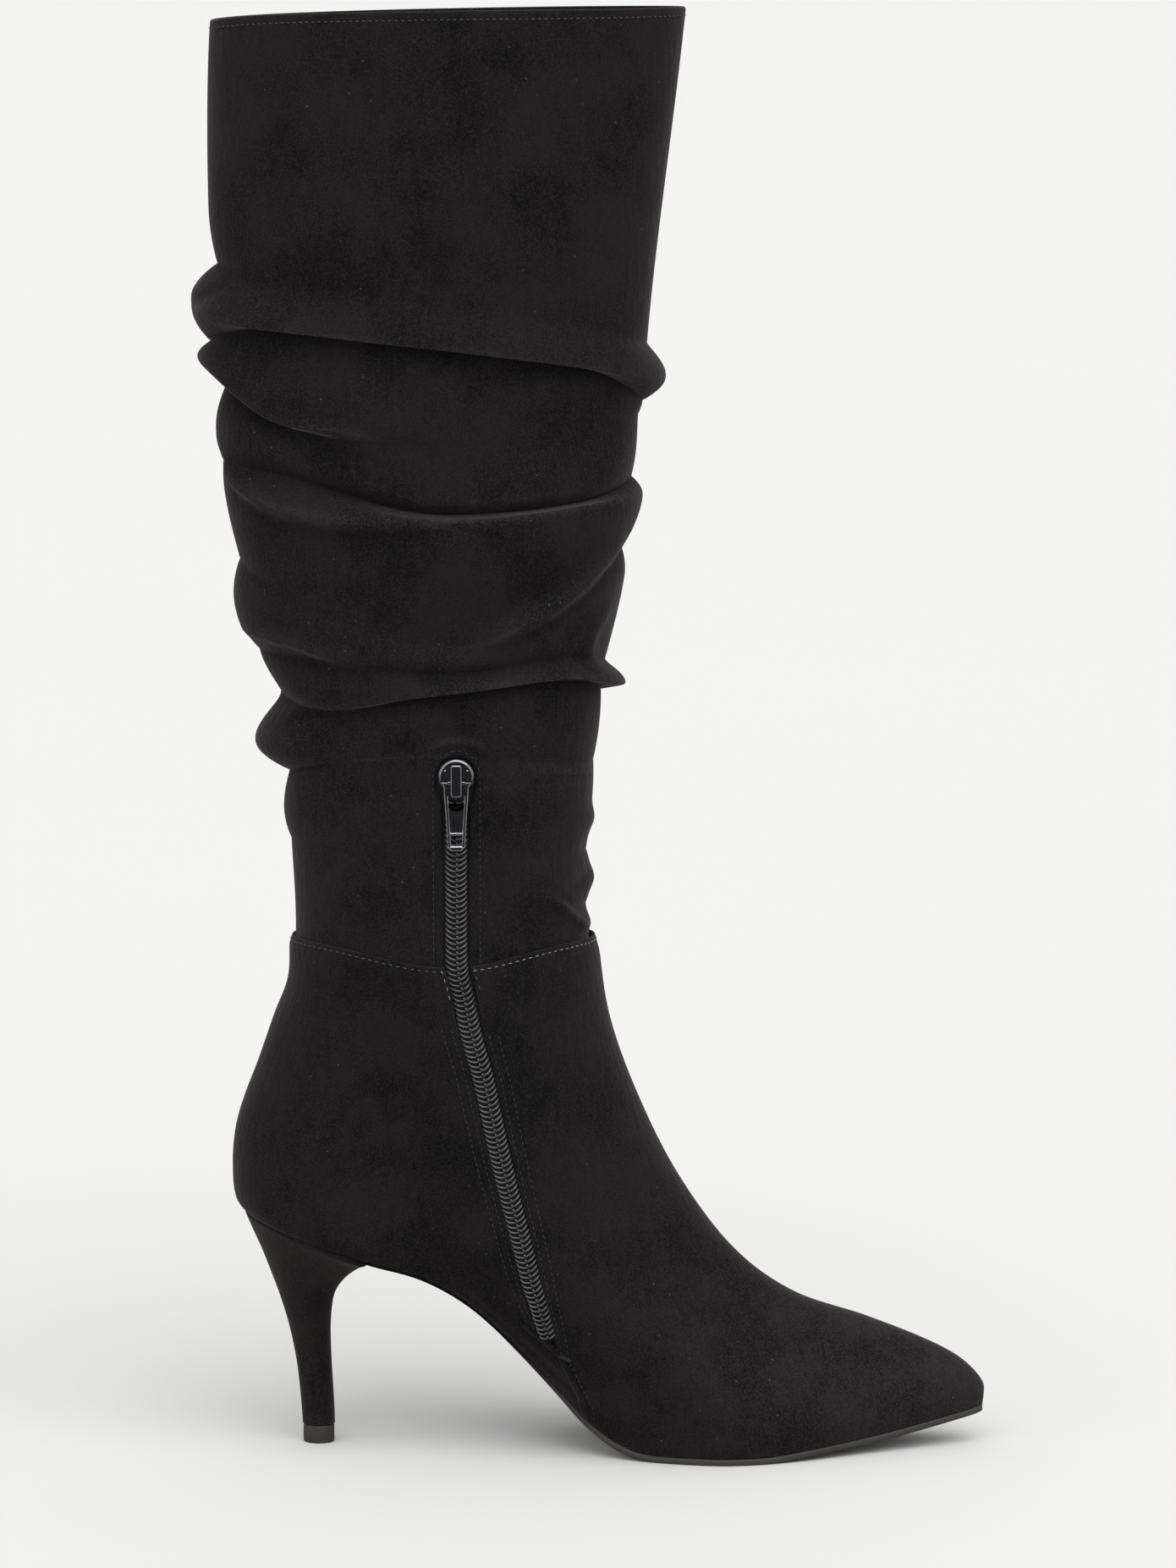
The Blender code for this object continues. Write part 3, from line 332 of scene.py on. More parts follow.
SEAT_BACK_X = -SEAT_SETBACK
TOE_X = SEAT_BACK_X + SOLE_LENGTH
BALL_LEVEL = OUTSOLE_THICKNESS + GAP
LAST_RING = len(FOOT_RINGS) - 1
ANKLE_FRONT = ANKLE_LENGTH / 2 * FRONT_REACH_AT_SEAM + SEAM_GAP + WALL
ANKLE_BACK = ANKLE_LENGTH / 2 * BACK_REACH_AT_SEAM + SEAM_GAP + WALL
ANKLE_SIDE = ANKLE_WIDTH / 2 + SEAM_GAP + WALL


def edge_height(x):
    """Height of the upper's lower edge at x."""
    along = (np.asarray(x, float) - SEAT_BACK_X) / SOLE_LENGTH
    seat = smooth(read(SOLE_LINE, 0), read(SOLE_LINE, 1), along) * (HEEL_HEIGHT - BALL_LEVEL)
    return BALL_LEVEL + seat + smooth(read(SOLE_LINE, 0), read(SOLE_LINE, 2), along) * TOE_SPRING


def edge_half_width(azimuth):
    """Half width of that edge at azimuths round the sole, each on the side that it lies on."""
    azimuth = np.asarray(azimuth, float)
    toe, seat = (math.sqrt(r * SOLE_LENGTH / 2) for r in (TOE_RADIUS, SEAT_RADIUS))
    angles = np.arccos(2 * read(SOLE_OUTLINE, 0) - 1)
    turned = np.arccos(np.clip(np.cos(azimuth), -1, 1))
    sides = []
    for side in (1, 2):
        widths = read(SOLE_OUTLINE, side) * SEAT_WIDTH + read(SOLE_OUTLINE, side + 2) * BALL_WIDTH
        shares = np.concatenate([[toe], (widths / np.sin(angles))[::-1], [seat]])
        sides.append(smooth(np.concatenate([[0.0], angles[::-1], [math.pi]]), shares, turned))
    return np.where(np.sin(azimuth) > 0, sides[1], sides[0]) * np.abs(np.sin(azimuth))


def seam_dip(azimuth):
    """How far the ankle seam dips: a blunt V at the zip, a wide curve on the outer side."""
    s = np.sin(azimuth)
    return np.where(s > 0, SEAM_DIP_OUTER * s**2, SEAM_DIP_INNER * s**6)


def foot_points(azimuth, ring):
    """Points of the foot's outer face. ring runs from 0 at the ankle seam to LAST_RING at the sole."""
    azimuth, ring = np.broadcast_arrays(np.asarray(azimuth, float), np.asarray(ring, float))
    front_run, front_drop, back_run, back_drop, sag, plan, swell, fall = (
        smooth(np.arange(len(FOOT_RINGS)), read(FOOT_RINGS, i), ring) for i in range(8)
    )
    ankle_front, ankle_back = LEG_AXIS + ANKLE_FRONT, LEG_AXIS - ANKLE_BACK
    toe_z, seat_z = float(edge_height(TOE_X)), float(edge_height(SEAT_BACK_X))
    front_x = ankle_front + (TOE_X - ankle_front) * front_run
    front_z = ANKLE_SEAM_HEIGHT + (toe_z - ANKLE_SEAM_HEIGHT) * front_drop
    back_x = ankle_back + (SEAT_BACK_X - ankle_back) * back_run
    back_z = ANKLE_SEAM_HEIGHT + (seat_z - ANKLE_SEAM_HEIGHT) * back_drop
    leg_share = ANKLE_BACK / (ANKLE_BACK + ANKLE_FRONT)
    widest_x = back_x + (front_x - back_x) * (leg_share + (0.5 - leg_share) * ring / LAST_RING)
    c, s = np.cos(azimuth), np.sin(azimuth)
    x = widest_x + np.where(c > 0, front_x - widest_x, widest_x - back_x) * c
    level = back_z + (front_z - back_z) * (x - back_x) / (front_x - back_x)
    sole_x = (SEAT_BACK_X + TOE_X) / 2 + SOLE_LENGTH / 2 * c
    chord = seat_z + (toe_z - seat_z) * (sole_x - SEAT_BACK_X) / SOLE_LENGTH
    bend = (edge_height(sole_x) - chord) * sag
    dip = seam_dip(azimuth) * np.maximum(0.0, 1 - ring / 3) ** 2
    half = ANKLE_SIDE * np.abs(s) * (1 - plan) + edge_half_width(azimuth) * plan
    half = half + swell * BALL_WIDTH * np.abs(s)
    drop = dip + fall * BALL_WIDTH * np.maximum(0.0, c) * s * s
    return np.stack([x, np.copysign(half, s), level + bend - drop], -1)


def unit(vectors):
    """The same directions, each one long."""
    return vectors / np.linalg.norm(vectors, axis=-1, keepdims=True)


def grid_normals(points):
    """Outward normals of a grid of points [row][column] that runs down and round a shell."""
    return unit(np.cross(np.gradient(points, axis=0), np.roll(points, -1, 1) - np.roll(points, 1, 1)))


def quads(grid, closed=True):
    """Faces of a grid of vertex numbers [row][column]."""
    right = np.roll(grid, -1, 1) if closed else grid[:, 1:]
    left = grid if closed else grid[:, :-1]
    return np.stack([left[:-1], left[1:], right[1:], right[:-1]], -1).reshape(-1, 4).tolist()


def lace(points, first, second):
    """Triangles between two lines of vertex numbers, which may differ in count."""
    runs = []
    for line in (first, second):
        steps = np.linalg.norm(np.diff(points[line], axis=0), axis=1)
        runs.append(np.concatenate([[0.0], np.cumsum(steps)]) / steps.sum())
    faces, i, j = [], 0, 0
    while i < len(first) - 1 or j < len(second) - 1:
        ahead = i < len(first) - 1 and (j == len(second) - 1 or runs[0][i + 1] <= runs[1][j + 1])
        if ahead:
            faces.append([int(first[i]), int(first[i + 1]), int(second[j])])
            i += 1
        else:
            faces.append([int(first[i]), int(second[j + 1]), int(second[j])])
            j += 1
    return [face for face in faces if len(set(face)) == 3]


def piece_of(name, points, faces, finishes, body="boot", finish_at=None):
    """A closed smooth piece from points and faces, which rides on a body."""
    mesh = bpy.data.meshes.new(name)
    mesh.from_pydata(np.asarray(points, float).tolist(), [], faces)
    for finish in finishes:
        mesh.materials.append(finish)
    if finish_at is not None:
        mesh.polygons.foreach_set("material_index", np.asarray(finish_at, np.int32))
    bm = bmesh.new()
    bm.from_mesh(mesh)
    bmesh.ops.recalc_face_normals(bm, faces=bm.faces)
    bm.to_mesh(mesh)
    bm.free()
    mesh.shade_smooth()
    made = bpy.data.objects.new(name, mesh)
    bpy.context.scene.collection.objects.link(made)
    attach(made, body)
    return made


def rim_rows(outer, inner, rise, steps):
    """Rows over the top of an edge, from its outer row to its inner row, as half a round."""
    middle, half = (outer + inner) / 2, (outer - inner) / 2
    turns = np.linspace(0, math.pi, steps + 2)[1:-1]
    up = np.array([0.0, 0.0, rise])
    return np.array([middle + half * math.cos(t) + up * math.sin(t) for t in turns])


SLOT_CELLS = 10
SLOT_EDGE_STEPS = (0.0004, 0.0009, 0.0016, 0.0025)


def open_columns(azimuths, arcs, left, right, columns):
    """Azimuths of a row's columns: SLOT_CELLS over the zip's slot, the rest evenly round the other way.

    azimuths and arcs are a table of the way round, left and right the slot's edges, one per row."""
    whole = arcs[-1]
    start = np.interp(right, azimuths, arcs)
    end = np.interp(left, azimuths, arcs) + whole
    near = np.array(SLOT_EDGE_STEPS)
    rest = columns - SLOT_CELLS - 1 - 2 * len(near)
    rows = []
    for a, b in zip(start, end):
        middle = np.linspace(a + near[-1], b - near[-1], rest + 2)[1:-1]
        rows.append(np.concatenate([a + near, middle, b - near[::-1]]))
    rows = np.array(rows)
    away = np.interp(np.mod(rows, whole), arcs, azimuths)
    share = np.linspace(0, 1, SLOT_CELLS + 1)
    over = left[:, None] + (right - left)[:, None] * share
    return np.concatenate([over, away], 1)


def shell_piece(name, outer, inner, rim, slot_outer, slot_inner, finishes, open_at_top, painted_light=None):
    """A thick shell, a grid of rows and columns outside and another inside, with the zip's slot left out.

    slot_outer and slot_inner are the rows at which the slot ends, inside the shell's height. The slot
    runs out of the upper edge if open_at_top is true, and otherwise out of the lower edge. The last
    argument paints light into the outer face's colour, from -1, painted shade in a hollow, to 1, painted
    highlight on a ridge."""
    rows = np.concatenate([inner[::-1], rim[::-1], outer])
    points = rows.reshape(-1, 3)
    grid = np.arange(len(points)).reshape(rows.shape[:2])
    top = len(inner)
    outside = slot_outer + top + len(rim)
    inside = top - 1 - slot_inner
    closing = np.stack([grid[-1], grid[0], np.roll(grid[0], -1), np.roll(grid[-1], -1)], -1).tolist()
    faces = quads(grid) + closing
    keep = np.ones((len(grid), grid.shape[1]), bool)
    sides = []
    if open_at_top:
        middle = top + len(rim) // 2
        keep[inside:outside, :SLOT_CELLS] = False
        for edge in (0, SLOT_CELLS):
            sides.append((grid[middle : outside + 1, edge], grid[inside : middle + 1, edge][::-1]))
    else:
        keep[outside:, :SLOT_CELLS] = False
        keep[:inside, :SLOT_CELLS] = False
        for edge in (0, SLOT_CELLS):
            sides.append((grid[outside:, edge], grid[: inside + 1, edge][::-1]))
    sides.append((grid[outside, : SLOT_CELLS + 1], grid[inside, : SLOT_CELLS + 1]))
    lined = np.zeros(keep.shape, int)
    lined[: top - 1] = 1
    lined = lined[keep].tolist()
    faces = [face for face, kept in zip(faces, keep.ravel()) if kept]
    for first, second in sides:
        faces += lace(points, first, second)
    lined += [0] * (len(faces) - len(lined))
    used = np.zeros(len(points), bool)
    used[np.concatenate([np.array(face) for face in faces])] = True
    number = np.cumsum(used) - 1
    faces = [[int(number[i]) for i in face] for face in faces]
    made = piece_of(name, points[used], faces, finishes, finish_at=lined)
    if painted_light is not None:
        wear = np.zeros(grid.shape, np.float32)
        wear[top + len(rim) :] = painted_light
        made.data.attributes.new("painted_light", "FLOAT", "POINT").data.foreach_set("value", wear.ravel()[used])
    return made


FOOT_SUEDE = suede("foot_suede_nap", (0.0020, 0.0017, 0.0019), (0.0185, 0.0166, 0.0178), 38.0, 0.26)


def woven_cloth(name, dark, light, threads_scale):
    """Woven black cloth, a fine plain weave."""
    made, tree, shader = finish_named(name)
    place = node_in(tree, "ShaderNodeTexCoord").outputs["Object"]
    weave = {"Vector": place, "Scale": threads_scale, "Distortion": 0.6}
    threads = node_in(tree, "ShaderNodeTexWave", weave, bands_direction="Z").outputs["Fac"]
    tree.links.new(mottled(tree, place, 60.0, 3.0, dark, light)[0], shader.inputs["Base Color"])
    tree.links.new(bumped(tree, threads, 0.3, 0.0002), shader.inputs["Normal"])
    shader.inputs["Roughness"].default_value = 0.9
    shader.inputs["Sheen Weight"].default_value = 0.1
    return made


LINING = woven_cloth("black_lining_cloth", (0.010, 0.010, 0.011), (0.022, 0.021, 0.022), 900.0)
FOOT_COLUMNS = 320
FOOT_ROUND = (0.085, 0.032)
AZIMUTH_STEP = 0.01
SKIVED_DEPTH = 0.0008
SLOT_ROWS_OUTER = 84
SLOT_ROWS_INNER = 22
# Where the painted highlight on the toe begins, and the run over which it grows.
TOE_HIGHLIGHT_FROM = 0.085
TOE_HIGHLIGHT_OVER = 0.11
turn = np.linspace(0, 2 * math.pi, 721)


def way_round(x_half, y_half):
    """Arc lengths of an ellipse at the places of turn."""
    speed = np.hypot(x_half * np.sin(turn), y_half * np.cos(turn))
    steps = (speed[1:] + speed[:-1]) / 2 * np.diff(turn)
    return np.concatenate([[0.0], np.cumsum(steps)])


def zip_line_on_foot(rings):
    """Azimuths of the zip's middle at rings of the foot."""
    return INNER_SIDE + np.radians(smooth(read(ZIP_FOOT_LINE, 0), read(ZIP_FOOT_LINE, 1), rings))


def foot_slot(rings, half_width):
    """Azimuths of the slot's two edges at each ring of the foot."""
    line = zip_line_on_foot(rings)
    apart = foot_points(line + AZIMUTH_STEP, rings) - foot_points(line - AZIMUTH_STEP, rings)
    reach = half_width * 2 * AZIMUTH_STEP / np.linalg.norm(apart, axis=1)
    return line - reach, line + reach


by_slot, under_slot = np.linspace(0, ZIP_LAST_RING, SLOT_ROWS_OUTER), np.linspace(ZIP_LAST_RING, 10, 40)
foot_rings = np.concatenate([by_slot, under_slot[1:]])
left, right = foot_slot(foot_rings, SLOT_HALF_WIDTH)
foot_columns = open_columns(turn, way_round(*FOOT_ROUND), left, right, FOOT_COLUMNS)
foot_outer = foot_points(foot_columns, foot_rings[:, None])
skived = SKIVED_DEPTH * np.exp(-((foot_rings / 0.12) ** 2))[:, None, None]
foot_outer = foot_outer - grid_normals(foot_outer) * np.array([1.0, 1.0, 0.0]) * skived
by_slot, under_slot = np.linspace(0, ZIP_LAST_RING, SLOT_ROWS_INNER), np.linspace(ZIP_LAST_RING, 10, 9)
inner_rings = np.concatenate([by_slot, under_slot[1:]])
left, right = foot_slot(inner_rings, SLOT_HALF_WIDTH)
inner_columns = open_columns(turn, way_round(*FOOT_ROUND), left, right, FOOT_COLUMNS)
foot_inner = foot_points(inner_columns, inner_rings[:, None])
inward = -grid_normals(foot_inner)
inward[0, :, 2] = inward[-1, :, 2] = 0.0
foot_inner = foot_inner + unit(inward) * WALL
foot_inner[0, :, 2] = foot_outer[0, :, 2]
foot_rim = rim_rows(foot_outer[0], foot_inner[0], 0.0006, 3)
# Painted highlight: the foot's suede is painted lighter towards the toe, and a little darker elsewhere.
painted_toe_highlight = np.clip((foot_outer[..., 0] - TOE_HIGHLIGHT_FROM) / TOE_HIGHLIGHT_OVER, 0, 1) ** 1.3 * 1.7 - 0.15
foot = shell_piece(
    "foot_upper_suede",
    foot_outer,
    foot_inner,
    foot_rim,
    SLOT_ROWS_OUTER - 1,
    SLOT_ROWS_INNER - 1,
    (FOOT_SUEDE, LINING),
    True,
    painted_toe_highlight,
)
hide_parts("foot_upper")

# The leg. A tube of the same suede, cut longer than it stands, so that it slouches into soft folds
# round the calf. Its lower edge is sewn inside the foot, and its collar is turned in and stitched.
BOOT_HEIGHT = 0.4760
COLLAR_LENGTH = 0.1552
COLLAR_WIDTH = 0.0640
SEAM_TUCK = 0.0080
ZIP_TOP_HEIGHT = 0.2369
ZIP_LEG_LEAN = 3.3
ZIP_SEAM_LEAN = 2.2
SLOT_HEAD_HALF_WIDTH = 0.0066
SLOT_HEAD_LENGTH = 0.0165
FLAT_ROUND_ZIP = 0.0240
LINING_CUT_BACK = 0.0012
LEG_COLUMNS = 320
LEG_ROUND = (0.065, 0.032)
LEG_SUEDE = suede("leg_suede_nap", (0.0020, 0.0017, 0.0019), (0.0182, 0.0163, 0.0178), 34.0, 0.30)

CREASES = (
    # name, reach back, side, front, then the height in mm at the back, back inner, inner, front
    # inner, front, front outer, outer and back outer
    ("collar", 1.000, 1.000, 1.000, 473.9, 476.6, 478.1, 478.3, 478.1, 477.2, 476.0, 474.8),
    ("shoulder", 1.099, 1.070, 0.945, 395.1, 390.5, 386.0, 378.0, 369.0, 376.0, 381.8, 389.0),
    ("overhang", 1.166, 1.010, 0.951, 369.6, 375.6, 370.0, 362.5, 350.1, 355.0, 359.9, 365.0),
    ("rear_fold", 1.101, 1.052, 0.950, 358.3, 343.4, 338.6, 344.5, 345.6, 344.5, 344.1, 349.5),
    ("front_lip", 1.172, 1.000, 0.948, 331.0, 327.5, 316.0, 319.0, 325.0, 321.0, 318.5, 325.0),
    ("shin", 1.148, 1.090, 0.945, 297.9, 286.0, 273.5, 289.0, 301.5, 292.0, 283.3, 291.0),
    ("calf_slope", 1.085, 1.070, 0.888, 268.1, 267.5, 264.5, 268.5, 264.4, 264.0, 263.2, 265.5),
    ("low_lip", 0.982, 1.025, 0.880, 254.4, 250.2, 257.8, 261.6, 254.4, 252.0, 249.8, 252.0),
    ("rear_roll", 0.967, 1.030, 0.867, 227.6, 232.5, 235.8, 233.5, 231.0, 232.5, 234.3, 231.0),
    ("ankle_ripple", 1.010, 1.010, 0.865, 205.1, 204.5, 203.9, 202.4, 200.9, 202.8, 204.8, 205.0),
    ("ankle", 1.026, 1.000, 0.896, 183.0, 183.0, 183.0, 183.0, 183.0, 183.0, 183.0, 183.0),
    (
        *("tuck", BACK_REACH_AT_SEAM, 1.000, FRONT_REACH_AT_SEAM),
        *(164.0, 161.0, 158.0, 161.0, 164.0, 162.0, 160.0, 162.0),
    ),
)
# What each fold between two creases does at those eight places. bulge: mm that it stands out. crest:
# how far down the fold that is. hang: mm that the crest hangs down over what is below it.
FOLDS = (
    # rows, bulge, crest, hang
    (22, (2.7, 1.2, 0.5, 0.4, 0.4, 0.4, 0.5, 1.5), (0.76, 0.7, 0.6, 0.55, 0.5, 0.55, 0.6, 0.68), (0,) * 8),
    (
        26,
        (8.0, 5.6, 5.2, 5.4, 7.0, 5.8, 5.0, 6.2),
        (0.42, 0.86, 0.88, 0.86, 0.56, 0.62, 0.70, 0.55),
        (0.0, 2.2, 2.0, 1.6, 0.5, 0.8, 1.0, 0.5),
    ),
    (
        24,
        (7.6, 5.0, 0.7, 0.2, 0.2, 0.8, 1.6, 4.5),
        (0.60, 0.86, 0.60, 0.50, 0.50, 0.60, 0.70, 0.65),
        (0.2, 2.4, 0.3, 0.0, 0.0, 0.0, 0.5, 0.5),
    ),
    (
        22,
        (3.4, 1.4, 2.8, 2.8, 0.6, 1.8, 2.4, 2.2),
        (0.50, 0.60, 0.72, 0.74, 0.60, 0.66, 0.70, 0.50),
        (0.3, 0.6, 1.8, 1.8, 0.5, 0.9, 1.2, 0.4),
    ),
    (
        32,
        (0.6, 2.2, 6.2, 6.2, 4.6, 5.0, 5.0, 2.4),
        (0.30, 0.22, 0.12, 0.12, 0.30, 0.22, 0.18, 0.26),
        (0.0, -0.8, -2.6, -2.4, -0.5, -1.2, -1.6, -0.4),
    ),
    (
        22,
        (4.2, 1.2, 1.2, 2.0, 2.3, 2.2, 2.0, 3.0),
        (0.50, 0.50, 0.60, 0.40, 0.26, 0.40, 0.60, 0.55),
        (0,) * 8,
    ),
    (
        22,
        (0.8, 2.2, 3.6, 4.4, 7.8, 5.0, 3.6, 1.6),
        (0.50, 0.78, 0.84, 0.86, 0.72, 0.74, 0.76, 0.60),
        (0.0, 0.8, 1.6, 1.6, 0.8, 0.8, 0.8, 0.3),
    ),
    (
        24,
        (11.2, 2.0, 0.6, 0.6, 0.8, 0.9, 1.2, 4.5),
        (0.58, 0.60, 0.50, 0.50, 0.50, 0.50, 0.50, 0.58),
        (1.0, 0.4, 0.0, 0.0, 0.0, 0.0, 0.2, 0.6),
    ),
    (28, (2.4, 0.8, 0.0, 0.2, 0.9, 0.4, 0.3, 1.3), (0.52, 0.5, 0.5, 0.45, 0.4, 0.45, 0.5, 0.5), (0,) * 8),
    (24, (0.0, 0.0, 0.0, 0.8, 1.8, 1.0, 0.0, 0.0), (0.5,) * 8, (0,) * 8),
    (16, (0.0,) * 8, (0.5,) * 8, (0,) * 8),
)


def all_round(values, azimuth):
    """A value given at the back, back inner and so on to the back outer side, at any azimuth."""
    places = np.radians(180 - 45 + 45 * np.arange(12))
    looped = np.r_[values[-1], values, values[:3]]
    return smooth(places, looped, math.pi + np.mod(np.asarray(azimuth) - math.pi, 2 * math.pi))


def leg_half_length(share):
    """Half the leg's length at a share of its height."""
    return ANKLE_LENGTH / 2 + (COLLAR_LENGTH - ANKLE_LENGTH) / 2 * np.clip(share, 0, 1)


def leg_half_width(share):
    """Half the leg's width there."""
    return ANKLE_WIDTH / 2 + (COLLAR_WIDTH - ANKLE_WIDTH) / 2 * np.clip(share, 0, 1)


CREASE_LEVELS = np.array([np.mean([row[4], row[6], row[8], row[10]]) for row in CREASES]) / 1000
CREASE_SHARES = (CREASE_LEVELS - ANKLE_SEAM_HEIGHT) / (BOOT_HEIGHT - ANKLE_SEAM_HEIGHT)


def leg_plain(azimuth, z, level=None):
    """Points of the leg's outer face without its folds. level is the height that z would have if
    every crease ran level."""
    azimuth, z = np.broadcast_arrays(np.asarray(azimuth, float), np.asarray(z, float))
    if level is None:
        heights = [float(all_round(row[4:], INNER_SIDE)) / 1000 for row in CREASES]
        level = np.interp(z, heights[::-1], CREASE_LEVELS[::-1])
    c, s = np.cos(azimuth), np.sin(azimuth)
    at = CREASE_LEVELS[::-1]
    length, width = leg_half_length(CREASE_SHARES), leg_half_width(CREASE_SHARES)
    back = smooth(at, (read(CREASES, 1) * length)[::-1], level)
    side = smooth(at, (read(CREASES, 2) * width)[::-1], level)
    front = smooth(at, (read(CREASES, 3) * length)[::-1], level)
    return np.stack([LEG_AXIS + np.where(c > 0, front, back) * c, side * s, z], -1)


def leg_out(azimuth):
    """Level direction out of the leg."""
    length, width = (ANKLE_LENGTH + COLLAR_LENGTH) / 4, (ANKLE_WIDTH + COLLAR_WIDTH) / 4
    azimuth = np.asarray(azimuth, float)
    return unit(np.stack([np.cos(azimuth) / length, np.sin(azimuth) / width, 0 * azimuth], -1))


def zip_lean(z):
    """How far ahead of the inner side the zip stands on the leg, in radians."""
    start = CREASES[-1][6] / 1000 + SEAM_TUCK * 1.5
    below = np.clip((start - z) / (SEAM_TUCK * 1.5), 0, 1)
    return np.radians(ZIP_LEG_LEAN + ZIP_SEAM_LEAN * below**2)


def flat_by_zip(azimuth, z):
    """Falls from 1 to 0 where the zip pulls the folds flat."""
    above = np.clip((z - ZIP_TOP_HEIGHT) / FLAT_ROUND_ZIP, 0, 1)
    beside = np.abs(np.sin(azimuth) + 1) * ANKLE_LENGTH / FLAT_ROUND_ZIP
    return 1 - (1 - above**2 * (3 - 2 * above)) * np.exp(-(beside**2))


# Creases and ridges that lie across the folds. lift: mm that they stand out, below 0 for a trough.
# above and below: how far they reach to each side, in mm. Then the places along them, each as
# degrees forward of the back over the inner side, and a height in mm.
CREASE_LINES = (
    # what, lift, above, below, places
    (
        *("ridge down from the second fold", 3.6, 5.0, 1.9),
        ((8, 333.5), (18, 326.0), (36, 318.2), (54, 313.0), (74, 310.6), (90, 311.0)),
    ),
    ("hollow above that ridge", -1.4, 4.0, 5.0, ((28, 331.0), (46, 327.0), (66, 322.5), (80, 319.5))),
    ("bump under the second fold", 3.2, 3.8, 4.4, ((50, 347.0), (61, 342.5), (74, 337.5))),
    ("pleat of the second fold", 1.0, 3.0, 1.6, ((44, 346.0), (50, 341.0), (54, 335.0))),
    (
        *("ridge up to the shin", 4.2, 5.5, 3.0),
        ((168, 305.0), (152, 298.5), (141, 293.0), (127, 285.5), (113, 278.8), (102, 274.0)),
    ),
    ("hollow behind that ridge", -2.4, 7.0, 5.0, ((132, 297.0), (118, 290.0), (104, 283.0))),
    (
        *("ridge over the beak", 1.6, 3.5, 3.5),
        ((163, 286.0), (153, 277.0), (151, 271.0), (157, 264.5), (168, 259.5)),
    ),
    ("hollow under the shin ridge", -1.2, 5.0, 5.0, ((146, 284.0), (138, 277.0), (130, 270.0))),
    ("ridge from the calf", 2.8, 4.0, 2.2, ((2, 275.0), (22, 274.2), (40, 272.5), (54, 268.6), (68, 265.0))),
    ("small ridge over the roll", 1.2, 2.2, 2.2, ((12, 246.5), (30, 250.5), (41, 254.5), (47, 259.0))),
    ("small crease in the top roll", -1.5, 2.4, 2.4, ((0, 381.0), (12, 384.5), (24, 390.0))),
    ("swelling above the top fold", 0.9, 9.0, 6.0, ((70, 377.0), (95, 374.0), (120, 371.0), (145, 368.5))),
    (
        *("hood over the slider", 4.0, 2.0, 1.3),
        ((83, 237.5), (88, 240.6), (94, 241.4), (100, 240.6), (105, 237.5)),
    ),
    ("pucker over the zip", -1.6, 3.0, 3.0, ((92, 239.5), (97, 243.0), (101, 247.0))),
    ("bump beside the pucker", 1.1, 2.6, 2.6, ((100, 240.5), (105, 244.5), (108, 249.0))),
    ("front of the ankle, upper", -1.0, 3.0, 3.5, ((176, 193.5), (160, 191.5), (146, 190.5))),
    ("upper ripple over the instep", 1.5, 3.8, 4.2, ((210, 212.5), (190, 211.8), (168, 211.0), (146, 209.0))),
    ("lower ripple over the instep", 1.2, 3.4, 3.6, ((210, 192.5), (190, 191.8), (174, 191.3), (162, 190.0))),
    ("roll on the ankle seam", 1.4, 3.6, 2.8, ((216, 175.5), (192, 176.4), (172, 176.4), (150, 174.0))),
    ("front of the ankle, lower", 1.9, 1.3, 1.5, ((134, 190.0), (146, 184.5), (160, 179.0), (171, 175.5))),
    (
        *("outer ridge down from the back", 2.0, 5.0, 2.4),
        ((352, 330.0), (330, 322.0), (305, 314.0), (282, 309.0)),
    ),
    ("outer ridge up to the shin", 2.2, 5.0, 2.6, ((196, 303.0), (215, 294.0), (236, 283.0), (258, 276.0))),
    ("outer ridge from the calf", 1.4, 4.0, 2.6, ((356, 276.0), (334, 271.0), (312, 266.0))),
    ("outer swelling", 1.4, 8.0, 7.0, ((300, 352.0), (270, 346.0), (240, 341.0))),
)


def along_lines(azimuth, z):
    """How far the crease lines lift the leg's face at azimuths and heights, in metres."""
    arcs = way_round(0.068, 0.032)
    whole = arcs[-1]
    s = np.interp(np.mod(azimuth, 2 * math.pi), turn, arcs)
    lifted = np.zeros_like(z)
    for _, lift, above, below, places in CREASE_LINES:
        places = np.array(places, float)
        steps = np.arange(len(places))
        t = np.linspace(0, len(places) - 1, 48)
        line_a = smooth(steps, np.radians(180 + places[:, 0]), t)
        line_z = smooth(steps, places[:, 1] / 1000, t)
        line_s = np.interp(np.mod(line_a, 2 * math.pi), turn, arcs)
        fade = np.sin(math.pi * np.clip(t / (len(places) - 1), 0.02, 0.98)) ** 0.7
        best = np.full(z.shape, 9.0)
        side, strength = np.zeros_like(z), np.zeros_like(z)
        near = (z > line_z.min() - 0.03) & (z < line_z.max() + 0.03)
        around = np.mod(s[near] - line_s[:, None] + whole / 2, whole) - whole / 2
        up = z[near] - line_z[:, None]
        gap = np.hypot(around, up)
        k = gap.argmin(axis=0)
        index = np.arange(len(k))
        best[near], strength[near] = gap[k, index], fade[k]
        run_s, run_z = np.gradient(np.unwrap(line_s, period=whole)), np.gradient(line_z)
        turned = run_s[k] * up[k, index] - run_z[k] * around[k, index]
        flip = 1.0 if run_s.sum() > 0 else -1.0
        side[near] = turned * flip
        reach = np.where(side > 0, above, below) / 1000
        lifted += lift / 1000 * strength * np.exp(-((best / reach) ** 2))
    return lifted


